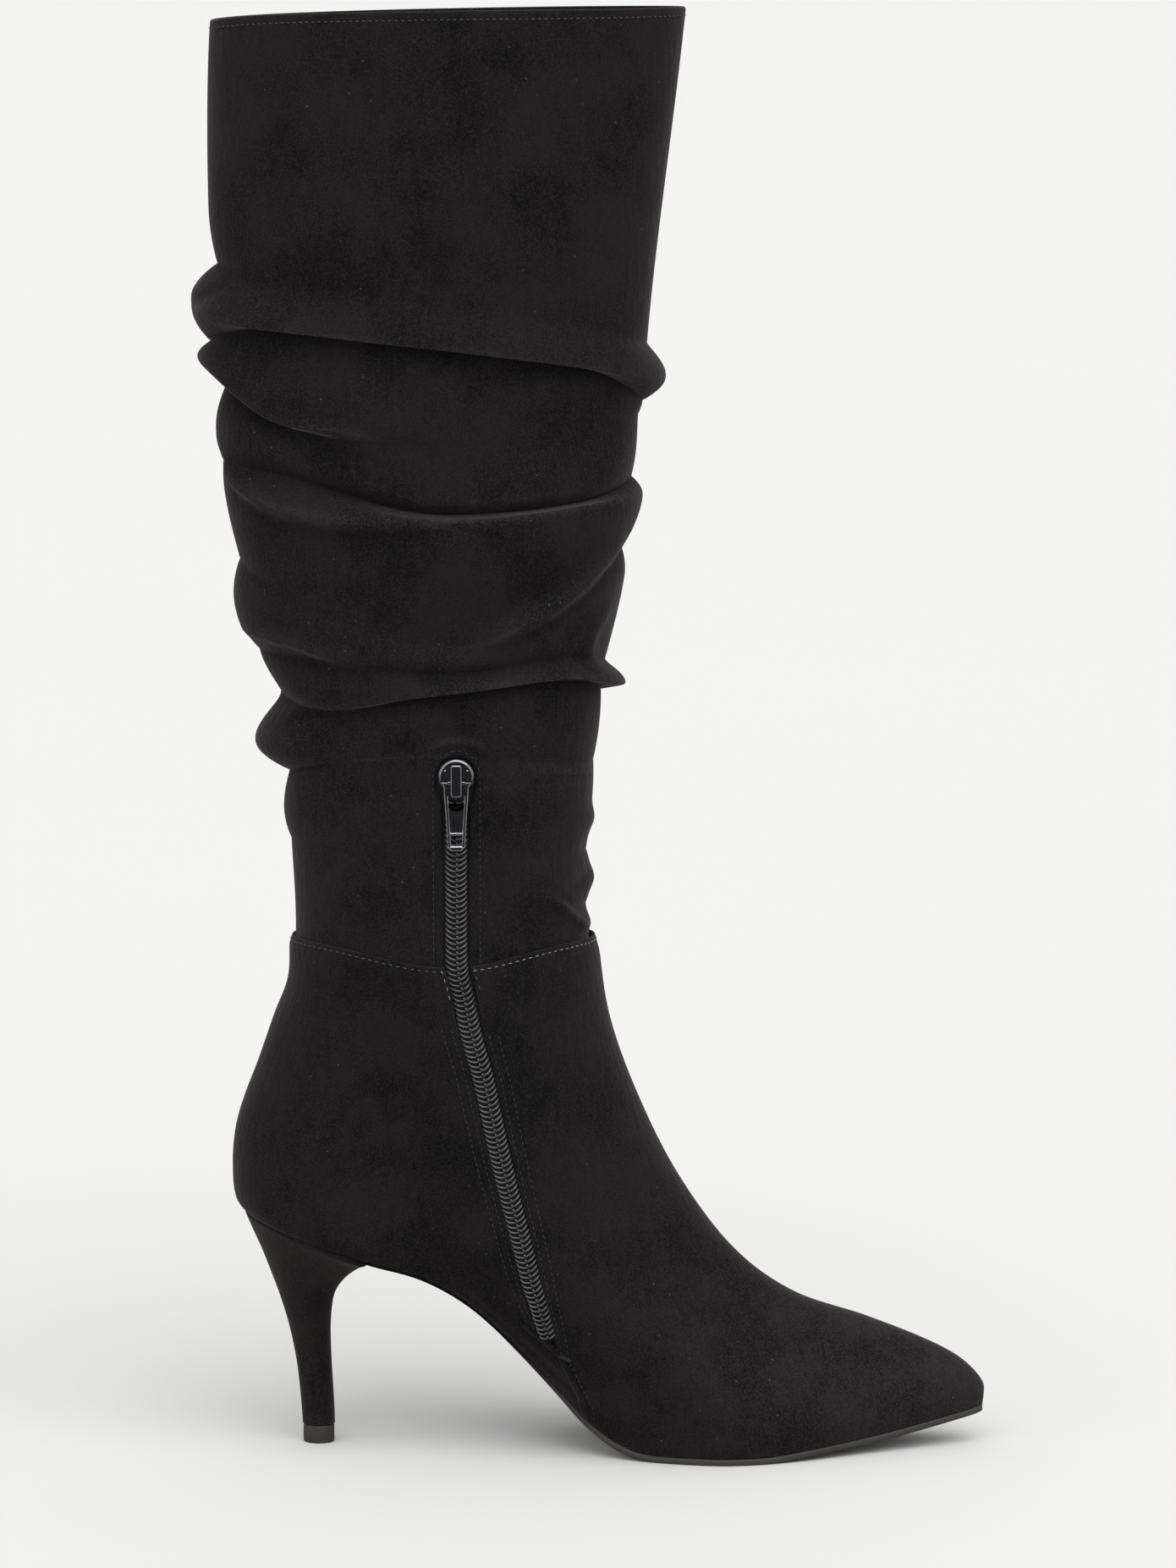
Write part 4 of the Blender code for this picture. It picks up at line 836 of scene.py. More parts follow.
def leg_surface(azimuth, fold, down):
    """Points of the folded leg. fold counts from the collar, and down runs from 0 to 1 over its rows."""
    bulge, crest, hang = (all_round(values, azimuth) for values in FOLDS[fold][1:])
    top, foot = (all_round(CREASES[i][4:], azimuth) / 1000 for i in (fold, fold + 1))
    if fold == len(FOLDS) - 1:
        foot = ANKLE_SEAM_HEIGHT - seam_dip(azimuth) - SEAM_TUCK
    above = np.clip(down * 2, 0, 1)
    below = np.clip(down * 2 - 1, 0, 1)
    share = crest * above + (1 - crest) * below
    z = top + (foot - top) * share
    level = CREASE_LEVELS[fold] + (CREASE_LEVELS[fold + 1] - CREASE_LEVELS[fold]) * share
    soft_above = 1 + np.clip(hang / 1.5, 0, 1)
    soft_below = 1 + np.clip(-hang / 1.5, 0, 1)
    rise = np.where(
        down < 0.5,
        np.sin(math.pi / 2 * above) ** (soft_above - 0.15),
        np.cos(math.pi / 2 * below) ** (soft_below - 0.15),
    )
    flat = flat_by_zip(azimuth, z)
    lift = bulge * flat * rise / 1000 + along_lines(azimuth, z) * (0.25 + 0.75 * flat)
    points = leg_plain(azimuth, z, level) + leg_out(azimuth) * lift[..., None]
    points[..., 2] -= hang * flat * rise**2 / 1000
    return points


leg_rows = [(0, 0.0)]
for fold, row in enumerate(FOLDS):
    leg_rows += [(fold, step / row[0]) for step in range(1, row[0] + 1)]
inner_line = np.array([leg_surface(np.array([INNER_SIDE]), f, np.array([w]))[0, 2] for f, w in leg_rows])
slot_row = int(np.argmin(np.abs(inner_line - ZIP_TOP_HEIGHT)))


def slot_half_width(z):
    """Half width of the zip's slot in the leg, wider round the slider's head and arched over it."""
    head = np.clip((z - (ZIP_TOP_HEIGHT - SLOT_HEAD_LENGTH)) / 0.006, 0, 1)
    half = SLOT_HALF_WIDTH + (SLOT_HEAD_HALF_WIDTH - SLOT_HALF_WIDTH) * head
    above = np.clip((z - ZIP_TOP_HEIGHT + SLOT_HEAD_HALF_WIDTH) / SLOT_HEAD_HALF_WIDTH, 0, 0.97)
    return half * np.sqrt(1 - above**2)


def leg_slot(z, wider_by):
    """Azimuths of the slot's two edges at heights of the leg."""
    line = INNER_SIDE + zip_lean(z)
    apart = leg_plain(line + AZIMUTH_STEP, z) - leg_plain(line - AZIMUTH_STEP, z)
    half = slot_half_width(np.minimum(z, ZIP_TOP_HEIGHT)) + wider_by
    reach = half * 2 * AZIMUTH_STEP / np.linalg.norm(apart, axis=1)
    return line - reach, line + reach


leg_columns = open_columns(turn, way_round(*LEG_ROUND), *leg_slot(inner_line, 0.0), LEG_COLUMNS)
leg_outer = np.array(
    [leg_surface(row, fold, np.full(len(row), down)) for row, (fold, down) in zip(leg_columns, leg_rows)]
)
inner_z = np.linspace(CREASES[0][6] / 1000, CREASES[-1][6] / 1000, 42)
slot_edges = leg_slot(inner_z, LINING_CUT_BACK)
inner_columns = open_columns(turn, way_round(*LEG_ROUND), *slot_edges, LEG_COLUMNS)
top, foot_end = leg_outer[0, :, 2], leg_outer[-1, :, 2]
leg_inner = []
for k, columns in enumerate(inner_columns):
    z = top + (foot_end - top) * k / (len(inner_columns) - 1)
    plain, out = leg_plain(columns, z), leg_out(columns)
    reach = ((leg_outer - plain) * out).sum(-1)
    away = np.abs(leg_outer[..., 2] - z)
    reach[away > np.maximum(np.minimum(0.005, top - z), away.min(axis=0) + 0.0002)] = 1.0
    leg_inner.append(plain + out * (reach.min(axis=0) - WALL)[:, None])
leg_inner = np.array(leg_inner)
slot_row_inner = int(np.argmin(np.abs(inner_z - ZIP_TOP_HEIGHT)))
leg_rim = rim_rows(leg_outer[0], leg_inner[0], 0.0008, 3)


def ridges_and_hollows(grid, azimuths):
    """Painted light from where a folded face stands out from, or lies under, its own even run: from -1,
    painted shade in a hollow, to 1, painted highlight on a ridge, and more painted highlight on lips.
    """
    reach = (grid * leg_out(azimuths)).sum(-1)
    wear_and_painted_light, lips = np.zeros_like(reach), np.zeros_like(reach)
    broad, narrow = (np.exp(-((np.arange(-24, 25) / width) ** 2)) for width in (8.0, 3.0))
    for k in range(grid.shape[1]):
        run = np.concatenate([[0.0], np.cumsum(np.linalg.norm(np.diff(grid[:, k], axis=0), axis=1))])
        even = np.arange(0, run[-1], 0.0005)
        padded = np.pad(np.interp(even, run, reach[:, k]), 24, mode="edge")
        for spread, kept in ((broad, wear_and_painted_light), (narrow, lips)):
            level = np.convolve(padded, spread / spread.sum(), "valid")
            kept[:, k] = reach[:, k] - np.interp(run, even, level)
    wear_and_painted_light, lips = (sum(np.roll(part, shift, 1) for shift in (-2, -1, 0, 1, 2)) / 5 for part in (wear_and_painted_light, lips))
    return 0.65 * np.clip(wear_and_painted_light / 0.0011, -1, 1) + 1.6 * np.clip(lips / 0.00035, 0, 1)


# The leg's colour gets painted shade in its hollows and painted highlights on its ridges and lips.
leg = shell_piece(
    "leg_suede",
    leg_outer,
    leg_inner,
    leg_rim,
    slot_row,
    slot_row_inner,
    (LEG_SUEDE, LINING),
    False,
    ridges_and_hollows(leg_outer, leg_columns),
)
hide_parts("shaft")

# The outsole. A thin sheet of moulded resin with the look of leather, pared thinner at the waist and
# cemented under the upper from the heel's breast to the toe, its edge trimmed, sanded and stained dark.
SOLE_INSET = 0.0004
BREAST_EDGE = 0.0415
OUTSOLE_EDGE_ROUND = 0.0005
WAIST_END = 0.085
TREAD_START = 0.125
WAIST_THINNED = 0.40
WAIST_DRAWN_IN = 0.0011
BREAST_LAP = 0.0024


def sole_resin():
    """Resin stained dark; its colour goes near black higher up, at the waist. A little worn and scratched
    along the tread.
    """
    made, tree, shader = finish_named("stained_sole_resin")
    place = node_in(tree, "ShaderNodeTexCoord").outputs["Object"]
    tone, _ = mottled(tree, place, 45.0, 4.0, (0.030, 0.026, 0.023), (0.070, 0.061, 0.054))
    long_way = node_in(tree, "ShaderNodeMapping", {"Vector": place, "Scale": (0.12, 1.0, 1.0)}).outputs[0]
    scratches = {"Vector": long_way, "Scale": 2200.0, "Detail": 3.0}
    sanded = node_in(tree, "ShaderNodeTexNoise", scratches).outputs["Fac"]
    height = node_in(tree, "ShaderNodeSeparateXYZ", {0: place}).outputs["Z"]
    waist = ranged(tree, height, 0.012, 0.040)
    tones = {0: waist, 6: tone, 7: (0.005, 0.005, 0.005, 1.0)}
    stained = node_in(tree, "ShaderNodeMix", tones, data_type="RGBA").outputs[2]
    tree.links.new(stained, shader.inputs["Base Color"])
    tree.links.new(ranged(tree, waist, 0.0, 1.0, 0.5, 0.12), shader.inputs["Specular IOR Level"])
    tree.links.new(ranged(tree, sanded, 0.0, 1.0, 0.42, 0.66), shader.inputs["Roughness"])
    tree.links.new(bumped(tree, sanded, 0.25, 0.0001), shader.inputs["Normal"])
    return made


SOLE_RESIN = sole_resin()


def azimuth_at(x):
    """The azimuth at which the sole's edge is x along."""
    return math.acos(max(-1.0, min(1.0, (2 * (x - SEAT_BACK_X) / SOLE_LENGTH) - 1)))


def closed_loft(sections):
    """Points and faces of a solid through cross sections of one count, with flat ends."""
    sections = np.asarray(sections)
    grid = np.arange(sections.shape[0] * sections.shape[1]).reshape(sections.shape[:2])
    faces = quads(grid) + [grid[0][::-1].tolist(), grid[-1].tolist()]
    return sections.reshape(-1, 3), faces


sections = []
for turned in np.linspace(0.05, azimuth_at(SEAT_BACK_X + BREAST_EDGE - BREAST_LAP), 150):
    x = SEAT_BACK_X + SOLE_LENGTH * (1 + math.cos(turned)) / 2
    at_waist = float(np.clip((TREAD_START + SEAT_BACK_X - x) / (TREAD_START - WAIST_END), 0, 1))
    inset = SOLE_INSET + WAIST_DRAWN_IN * at_waist
    outer, inner = (float(edge_half_width(a)) - inset for a in (turned, -turned))
    top = float(edge_height(x)) - GAP
    slope = float(edge_height(x + 0.0005) - edge_height(x - 0.0005)) / 0.001
    low = top - OUTSOLE_THICKNESS * (1 - (1 - WAIST_THINNED) * at_waist) * math.sqrt(1 + slope**2)
    r = OUTSOLE_EDGE_ROUND * (1 - at_waist / 2)
    side = [(0, top - 0.0001), (0, (top + low) / 2), (0, low + r), (0.29 * r, low + 0.29 * r), (r, low)]
    across = np.linspace(outer - 2 * r, 2 * r - inner, 14)
    points = [(x, outer - d, z) for d, z in side] + [(x, y, low) for y in across]
    points += [(x, d - inner, z) for d, z in side[::-1]]
    points += [(x, y, top) for y in np.linspace(r - inner, outer - r, 12)]
    sections.append(points)
outsole = piece_of("outsole_resin_sheet", *closed_loft(sections), (SOLE_RESIN,))
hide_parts("outsole")

# The heel. A slim moulded block covered in the boot's suede, which is drawn round it and closed down
# the breast; a nail from inside the boot holds it to the seat.
HEEL_TIP_HEIGHT = 0.0060
HEEL_TIP_LENGTH = 0.0108
HEEL_TIP_WIDTH = 0.0104
COVER_GAP = 0.00012
HEEL_RINGS = (
    # back, front, rise_back, rise_front, width, round
    (0.000, 0.000, 0.000, 0.000, 0.000, 0.00),
    (0.028, -0.022, 0.105, 0.133, 0.004, 0.00),
    (0.100, -0.086, 0.280, 0.358, 0.030, 0.05),
    (0.225, -0.112, 0.445, 0.541, 0.095, 0.15),
    (0.385, -0.069, 0.588, 0.680, 0.210, 0.30),
    (0.545, 0.052, 0.704, 0.793, 0.375, 0.48),
    (0.705, 0.353, 0.813, 0.889, 0.570, 0.66),
    (0.870, 0.732, 0.912, 0.962, 0.780, 0.84),
    (0.985, 1.000, 0.985, 1.000, 0.960, 1.00),
)
HEEL_SUEDE = suede("heel_suede_nap", (0.0046, 0.0040, 0.0039), (0.0225, 0.0198, 0.0192), 55.0, 0.24)


def heel_ring(back, front, rise_back, rise_front, width, rounded, count=96):
    """One ring of the heel, as points round it."""
    base = HEEL_TIP_HEIGHT + GAP
    seat_back, seat_front = SEAT_BACK_X + SOLE_INSET, SEAT_BACK_X + BREAST_EDGE
    back_top, front_top = (float(edge_height(x)) - COVER_GAP for x in (seat_back, seat_front))
    tip = HEEL_TIP_LENGTH / 2
    back_x = -tip + (seat_back + tip) * back
    front_x = tip + (seat_front - tip) * front
    back_z = base + (back_top - base) * rise_back
    front_z = base + (front_top - OUTSOLE_THICKNESS - base) * rise_front
    half = HEEL_TIP_WIDTH / 2 + (SEAT_WIDTH / 2 - SOLE_INSET - HEEL_TIP_WIDTH / 2) * width
    a = np.arange(count) * 2 * math.pi / count
    c, s = np.cos(a), np.sin(a)
    x = (back_x + front_x) / 2 + (front_x - back_x) / 2 * c
    plain = np.abs(s) ** np.where(c > 0, 0.8, 1.0)
    seat_x = (seat_back + seat_front) / 2 + (seat_front - seat_back) / 2 * c
    seat_a = np.arccos(np.clip(2 * (seat_x - SEAT_BACK_X) / SOLE_LENGTH - 1, -1, 1))
    seat_y = edge_half_width(np.copysign(seat_a, s)) * 2 / SEAT_WIDTH
    seat_y = seat_y * np.where(c > 0, (1 - np.clip(c, 0, 1) ** 10) ** 0.1, 1.0)
    y = half * ((1 - rounded) * plain + rounded * seat_y)
    z = back_z + (front_z - back_z) * (x - back_x) / (front_x - back_x)
    return np.stack([x, np.where(np.abs(s) < 1e-9, 0.0, np.copysign(y, s)), z], -1)


rise = np.linspace(0, len(HEEL_RINGS) - 1, 90)
heel_columns = [smooth(np.arange(len(HEEL_RINGS)), read(HEEL_RINGS, i), rise) for i in range(6)]
sections = [heel_ring(*row) for row in np.array(heel_columns).T]
seat = heel_ring(1.0, 1.0, 1.0, 1.0, 1.0, 1.0)
seat[:, 2] = edge_height(seat[:, 0]) - COVER_GAP
heel = piece_of("heel_covered_block", *closed_loft(sections + [seat]), (HEEL_SUEDE,))
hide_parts("heel")

# The heel tip. A hard rubber lift on a steel pin, pressed into the heel's end and trimmed to its edge.


def tip_rubber():
    """Dark hard rubber with a moulded, slightly scuffed face."""
    made, tree, shader = finish_named("hard_tip_rubber")
    place = node_in(tree, "ShaderNodeTexCoord").outputs["Object"]
    tone, cloud = mottled(tree, place, 500.0, 4.0, (0.024, 0.023, 0.022), (0.050, 0.047, 0.044))
    tree.links.new(tone, shader.inputs["Base Color"])
    tree.links.new(bumped(tree, cloud, 0.2, 0.0001), shader.inputs["Normal"])
    shader.inputs["Roughness"].default_value = 0.5
    return made


TIP_RUBBER = tip_rubber()
outline = heel_ring(*HEEL_RINGS[0])[:, :2] * (1 - SOLE_INSET / HEEL_TIP_LENGTH)
profile = ((0.94, 0.0), (0.985, 0.00025), (1.0, 0.0008), (1.0, 0.0054), (0.98, 0.0060))
sections = [np.c_[outline * k, np.full(len(outline), z)] for k, z in profile]
tip = piece_of("heel_tip_rubber", *closed_loft(sections), (TIP_RUBBER,))
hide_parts("heel_tip")

# The insole and the zip's tape. The insole is a board covered in the lining's cloth, and the tape is a
# close nylon weave; both keep the shape of their solids.


def dress(node, finish):
    """Gives a solid that is kept as it is its finish."""
    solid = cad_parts[node]
    solid.data.materials.clear()
    solid.data.materials.append(finish)


TAPE_CLOTH = woven_cloth("black_tape_cloth", (0.006, 0.006, 0.007), (0.017, 0.017, 0.018), 1400.0)
dress("insole", LINING)
dress("zip_tape", TAPE_CLOTH)

# The zip's coil. Two nylon coils lie on the tape, which is sewn behind the slot. Their hooks lock into
# each other from the slider down to a stop low on the inner side.
CHAIN_HALF_WIDTH = 0.0034
CHAIN_RISE = 0.0013
CHAIN_SUNK = 0.0002
HOOK_PITCH = 0.00172
WIRE_RADIUS = 0.00033
HOOKS_START = 0.0115
STOP_LENGTH = 0.0016


def beside_zip(surface, azimuth, level, place):
    """Points beside the zip's line on the leg or the foot, and their outward normals."""
    apart = surface(azimuth + AZIMUTH_STEP, level) - surface(azimuth - AZIMUTH_STEP, level)
    at = azimuth + place * 2 * AZIMUTH_STEP / np.linalg.norm(apart, axis=-1)
    forward = surface(at + AZIMUTH_STEP, level) - surface(at - AZIMUTH_STEP, level)
    down = surface(at, level + 0.001) - surface(at, level - 0.001)
    normal = unit(np.cross(unit(forward), down))
    return surface(at, level), np.where(normal[..., 1:2] > 0, -normal, normal)


def zip_line(place, count=360):
    """Points and normals at a place beside the zip, on the wall's inner face, and the way run."""
    z = np.linspace(ZIP_TOP_HEIGHT, CREASES[-1][6] / 1000 + 0.001, 24)
    rings = np.linspace(1.25, ZIP_LAST_RING, 30)
    on_leg = beside_zip(leg_plain, INNER_SIDE + zip_lean(z), z, place)
    on_foot = beside_zip(foot_points, zip_line_on_foot(rings), rings, place)
    points, normals = (np.concatenate(pair) for pair in zip(on_leg, on_foot))
    points = points - normals * WALL
    run = np.concatenate([[0.0], np.cumsum(np.linalg.norm(np.diff(points, axis=0), axis=1))])
    at = np.linspace(0, run[-1], count)
    points, normals = (
        np.stack([smooth(run, part[:, i], at) for i in range(3)], 1) for part in (points, normals)
    )
    return points, unit(normals), at


def line_mesh(name, lines):
    """A mesh of open lines, each (points, normals), that keeps the wall's normals."""
    mesh = bpy.data.meshes.new(name)
    points = np.concatenate([line[0] for line in lines])
    edges, start = [], 0
    for line, _ in lines:
        edges += [(start + i, start + i + 1) for i in range(len(line) - 1)]
        start += len(line)
    mesh.from_pydata(points.tolist(), edges, [])
    kept = mesh.attributes.new("wall_normal", "FLOAT_VECTOR", "POINT")
    kept.data.foreach_set("vector", np.concatenate([line[1] for line in lines]).astype(np.float32).ravel())
    return mesh


def along_tree(name, sizes):
    """A tree that lays a part along lines: its input nodes, and a way to finish it with that part."""
    tree = bpy.data.node_groups.new(name, "GeometryNodeTree")
    tree.interface.new_socket("Geometry", in_out="INPUT", socket_type="NodeSocketGeometry")
    for label, value in sizes:
        tree.interface.new_socket(label, in_out="INPUT", socket_type="NodeSocketFloat").default_value = value
    tree.interface.new_socket("Finish", in_out="INPUT", socket_type="NodeSocketMaterial")
    tree.interface.new_socket("Geometry", in_out="OUTPUT", socket_type="NodeSocketGeometry")
    given = node_in(tree, "NodeGroupInput").outputs
    line = node_in(tree, "GeometryNodeMeshToCurve", {"Mesh": given["Geometry"]}).outputs["Curve"]
    evenly = {"Curve": line, "Length": given["Pitch"]}
    spaced = node_in(tree, "GeometryNodeResampleCurve", evenly, mode="LENGTH").outputs["Curve"]
    kept = {"Name": "wall_normal"}
    normal = node_in(tree, "GeometryNodeInputNamedAttribute", kept, data_type="FLOAT_VECTOR")
    tangent = node_in(tree, "GeometryNodeInputTangent").outputs["Tangent"]
    turned = node_in(
        tree,
        "FunctionNodeAxesToRotation",
        {"Primary Axis": normal.outputs["Attribute"], "Secondary Axis": tangent},
        primary_axis="Z",
        secondary_axis="Y",
    ).outputs["Rotation"]
    return tree, given, spaced, turned


def end_tree(tree, given, spaced, turned, part):
    """Finishes such a tree with the part that it lays along the lines."""
    laid = {"Points": spaced, "Instance": part, "Rotation": turned}
    laid = node_in(tree, "GeometryNodeInstanceOnPoints", laid).outputs["Instances"]
    real = node_in(tree, "GeometryNodeRealizeInstances", {"Geometry": laid}).outputs["Geometry"]
    done = node_in(tree, "GeometryNodeSetMaterial", {"Geometry": real, "Material": given["Finish"]})
    out = node_in(tree, "NodeGroupOutput")
    tree.links.new(done.outputs["Geometry"], out.inputs["Geometry"])


def laid_along(name, lines, tree, sizes, finish):
    """Runs a tree on lines and keeps the result as a plain smooth mesh that rides on the boot."""
    path = bpy.data.objects.new(name + "_lines", line_mesh(name + "_lines", lines))
    bpy.context.scene.collection.objects.link(path)
    modifier = path.modifiers.new("laid", "NODES")
    modifier.node_group = tree
    sockets = {item.name: item.identifier for item in tree.interface.items_tree if item.in_out == "INPUT"}
    for label, value in sizes:
        modifier[sockets[label]] = value
    modifier[sockets["Finish"]] = finish
    bpy.context.view_layer.update()
    mesh = bpy.data.meshes.new_from_object(path.evaluated_get(bpy.context.evaluated_depsgraph_get()))
    path.modifiers.clear()
    bpy.data.objects.remove(path)
    mesh.name = name
    mesh.shade_smooth()
    made = bpy.data.objects.new(name, mesh)
    bpy.context.scene.collection.objects.link(made)
    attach(made, "boot")
    return made


def coil_tree():
    """Two rows of hooks, one from each side, set off along the zip, with a ball where they lock."""
    tree, given, spaced, turned = along_tree(
        "zip_hooks", (("Pitch", 0.0017), ("Half Width", 0.0036), ("Rise", 0.0013), ("Wire Radius", 0.0004))
    )
    wire = {"Resolution": 7, "Radius": given["Wire Radius"]}
    ring = node_in(tree, "GeometryNodeCurvePrimitiveCircle", wire).outputs["Curve"]
    hooks = node_in(tree, "GeometryNodeJoinGeometry")
    for side, shift in ((-1, 0.0), (1, 0.15)):
        size = {"X": given["Half Width"], "Y": given["Pitch"], "Z": given["Rise"]}
        size = node_in(tree, "ShaderNodeCombineXYZ", size).outputs[0]
        bend = {
            "Resolution": 7,
            "Start": (side * 1.00, shift - 0.62, 0.0),
            "Middle": (side * 0.74, shift + 0.10, 2.1),
            "End": (side * 0.06, shift + 0.46, 0.55),
        }
        bent = node_in(tree, "GeometryNodeCurveQuadraticBezier", bend).outputs["Curve"]
        sized = node_in(tree, "GeometryNodeTransform", {"Geometry": bent, "Scale": size}).outputs["Geometry"]
        swept = {"Curve": sized, "Profile Curve": ring, "Fill Caps": True}
        swept = node_in(tree, "GeometryNodeCurveToMesh", swept).outputs["Mesh"]
        tree.links.new(swept, hooks.inputs["Geometry"])
    ball = {"Segments": 7, "Rings": 5, "Radius": 0.00044}
    ball = node_in(tree, "GeometryNodeMeshUVSphere", ball).outputs["Mesh"]
    locked = {"Geometry": ball, "Translation": (-0.0002, 0.0002, 0.00115)}
    locked = node_in(tree, "GeometryNodeTransform", locked).outputs["Geometry"]
    tree.links.new(locked, hooks.inputs["Geometry"])
    end_tree(tree, given, spaced, turned, hooks.outputs["Geometry"])
    return tree


def coil_nylon():
    """Black nylon, smooth and a little glossy, with a random mottle; its colour is painted lighter than
    the nylon's own, as painted light on hooks that lie in shade.
    """
    made, tree, shader = finish_named("black_coil_nylon")
    place = node_in(tree, "ShaderNodeTexCoord").outputs["Object"]
    # Lighter than black nylon: painted light on the shaded hooks.
    tone, cloud = mottled(tree, place, 800.0, 3.0, (0.060, 0.060, 0.062), (0.150, 0.150, 0.155))
    tree.links.new(tone, shader.inputs["Base Color"])
    tree.links.new(ranged(tree, cloud, 0.0, 1.0, 0.16, 0.30), shader.inputs["Roughness"])
    shader.inputs["Specular IOR Level"].default_value = 0.6
    return made


COIL_NYLON = coil_nylon()
middle, outward, run = zip_line(0.0)
held = (run > HOOKS_START) & (run < run[-1] - STOP_LENGTH)
coil = laid_along(
    "zip_coil",
    [(middle[held] + outward[held] * (WIRE_RADIUS - CHAIN_SUNK + 0.0001), outward[held])],
    coil_tree(),
    (
        ("Pitch", HOOK_PITCH),
        ("Half Width", CHAIN_HALF_WIDTH),
        ("Rise", CHAIN_RISE),
        ("Wire Radius", WIRE_RADIUS),
    ),
    COIL_NYLON,
)
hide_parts("zip_chain")

# The stitches. Lock stitches of bonded thread: pale grey ones close the ankle seam, duller grey ones
# hold its back and the collar's hem, and black ones the zip's slot and the seam down to the sole.
THREAD_LIFT = 0.00012
ANKLE_ROW_DOWN = 0.0010
COLLAR_ROW_DOWN = 0.0020
SLIDER_ROW_ASIDE = 0.0076
SLIDER_ROW_TOP = 0.2300
SLIDER_ARCH_RISE = 0.0083
SLOT_ROW_PLACES = (-0.0093, -0.0061, 0.0061, 0.0093)
SLOT_ROWS_TOP = 0.1560
SOLE_SEAM_BEHIND = math.radians(3.7)
SOLE_SEAM_ASIDE = 0.0016


def stitch_tree():
    """Short thread loops laid one after another, each a little off line."""
    tree, given, spaced, turned = along_tree(
        "lock_stitches", (("Pitch", 0.0024), ("Stitch Length", 0.0015), ("Thread", 0.0004), ("Sway", 0.12))
    )
    ball = {"Segments": 6, "Rings": 6, "Radius": 0.5}
    ball = node_in(tree, "GeometryNodeMeshUVSphere", ball).outputs["Mesh"]
    size = {"X": given["Thread"], "Y": given["Stitch Length"], "Z": given["Thread"]}
    size = node_in(tree, "ShaderNodeCombineXYZ", size).outputs[0]
    thread = node_in(tree, "GeometryNodeTransform", {"Geometry": ball, "Scale": size}).outputs["Geometry"]
    less = node_in(tree, "ShaderNodeMath", {0: given["Sway"], 1: -1.0}, operation="MULTIPLY").outputs[0]
    sway = {"Min": less, "Max": given["Sway"], "Seed": 7}
    sway = node_in(tree, "FunctionNodeRandomValue", sway, data_type="FLOAT")
    lean = node_in(tree, "ShaderNodeCombineXYZ", {"Z": sway.outputs["Value"]}).outputs[0]
    lean = node_in(tree, "FunctionNodeEulerToRotation", {"Euler": lean}).outputs[0]
    swayed = {"Rotation": turned, "Rotate By": lean}
    swayed = node_in(tree, "FunctionNodeRotateRotation", swayed, rotation_space="LOCAL").outputs[0]
    end_tree(tree, given, spaced, swayed, thread)
    return tree


def thread_finish(name, dark, light):
    """Bonded polyester thread with its twist."""
    made, tree, shader = finish_named(name)
    place = node_in(tree, "ShaderNodeTexCoord").outputs["Object"]
    tone, twist = mottled(tree, place, 2500.0, 2.0, dark, light)
    tree.links.new(tone, shader.inputs["Base Color"])
    tree.links.new(bumped(tree, twist, 0.4, 0.0001), shader.inputs["Normal"])
    shader.inputs["Roughness"].default_value = 0.6
    return made


PALE_THREAD = thread_finish("pale_grey_thread", (0.16, 0.16, 0.17), (0.42, 0.42, 0.43))
GREY_THREAD = thread_finish("worn_grey_thread", (0.036, 0.036, 0.038), (0.125, 0.122, 0.126))
BLACK_THREAD = thread_finish("black_thread", (0.012, 0.012, 0.013), (0.054, 0.054, 0.056))
STITCHES = stitch_tree()


def line_across(grid, depth, proud):
    """A line round a shell, a given way down each column of its outer grid, lifted off the face."""
    normals = grid_normals(grid)
    line, lifted = [], []
    for column, normal in zip(grid.transpose(1, 0, 2), normals.transpose(1, 0, 2)):
        run = np.concatenate([[0.0], np.cumsum(np.linalg.norm(np.diff(column, axis=0), axis=1))])
        line.append([np.interp(depth, run, column[:, i]) for i in range(3)])
        lifted.append([np.interp(depth, run, normal[:, i]) for i in range(3)])
    lifted = unit(np.array(lifted))
    outward = np.sign((lifted[:, :2] * (np.array(line)[:, :2] - [LEG_AXIS, 0])).sum(1).mean())
    return np.array(line) + lifted * outward * proud, lifted * outward


ankle_line, ankle_normal = line_across(foot_outer, ANKLE_ROW_DOWN, 0.00010)
past_slot = slice(SLOT_CELLS + 3, len(ankle_line) - 2)
ankle_line, ankle_normal = ankle_line[past_slot], ankle_normal[past_slot]
at_back = (ankle_line[:, 0] < LEG_AXIS) & (ankle_line[:, 1] < 0)
tacks = []
for place, first, last in ((-0.0052, 0.05, 0.52), (0.0054, 0.02, 0.34)):
    rings = np.linspace(first, last, 12)
    points, normals = beside_zip(foot_points, zip_line_on_foot(rings), rings, place)
    tacks.append((points + normals * 0.0001, normals))
for name, lines, finish in (
    ("ankle_seam_stitches", [(ankle_line[~at_back], ankle_normal[~at_back])] + tacks[:1], PALE_THREAD),
    ("ankle_seam_stitches_back", [(ankle_line[at_back], ankle_normal[at_back])] + tacks[1:], GREY_THREAD),
):
    ankle_stitches = laid_along(
        name,
        lines,
        STITCHES,
        (("Pitch", 0.0024), ("Stitch Length", 0.0014), ("Thread", 0.00034), ("Sway", 0.16)),
        finish,
    )
collar_line, collar_normal = line_across(leg_outer, COLLAR_ROW_DOWN, 0.00014)
closed = np.r_[np.arange(len(collar_line)), 0]
collar_stitches = laid_along(
    "collar_stitches",
    [(collar_line[closed], collar_normal[closed])],
    STITCHES,
    (("Pitch", 0.0021), ("Stitch Length", 0.0012), ("Thread", 0.00036), ("Sway", 0.30)),
    GREY_THREAD,
)
black_lines = []
leg_skin, leg_skin_normals = leg_outer.reshape(-1, 3), grid_normals(leg_outer).reshape(-1, 3)
by_zip = (leg_skin[:, 1] < 0) & (np.abs(leg_skin[:, 0] - LEG_AXIS) < 0.03) & (leg_skin[:, 2] < 0.26)
leg_skin, leg_skin_normals = leg_skin[by_zip], leg_skin_normals[by_zip]


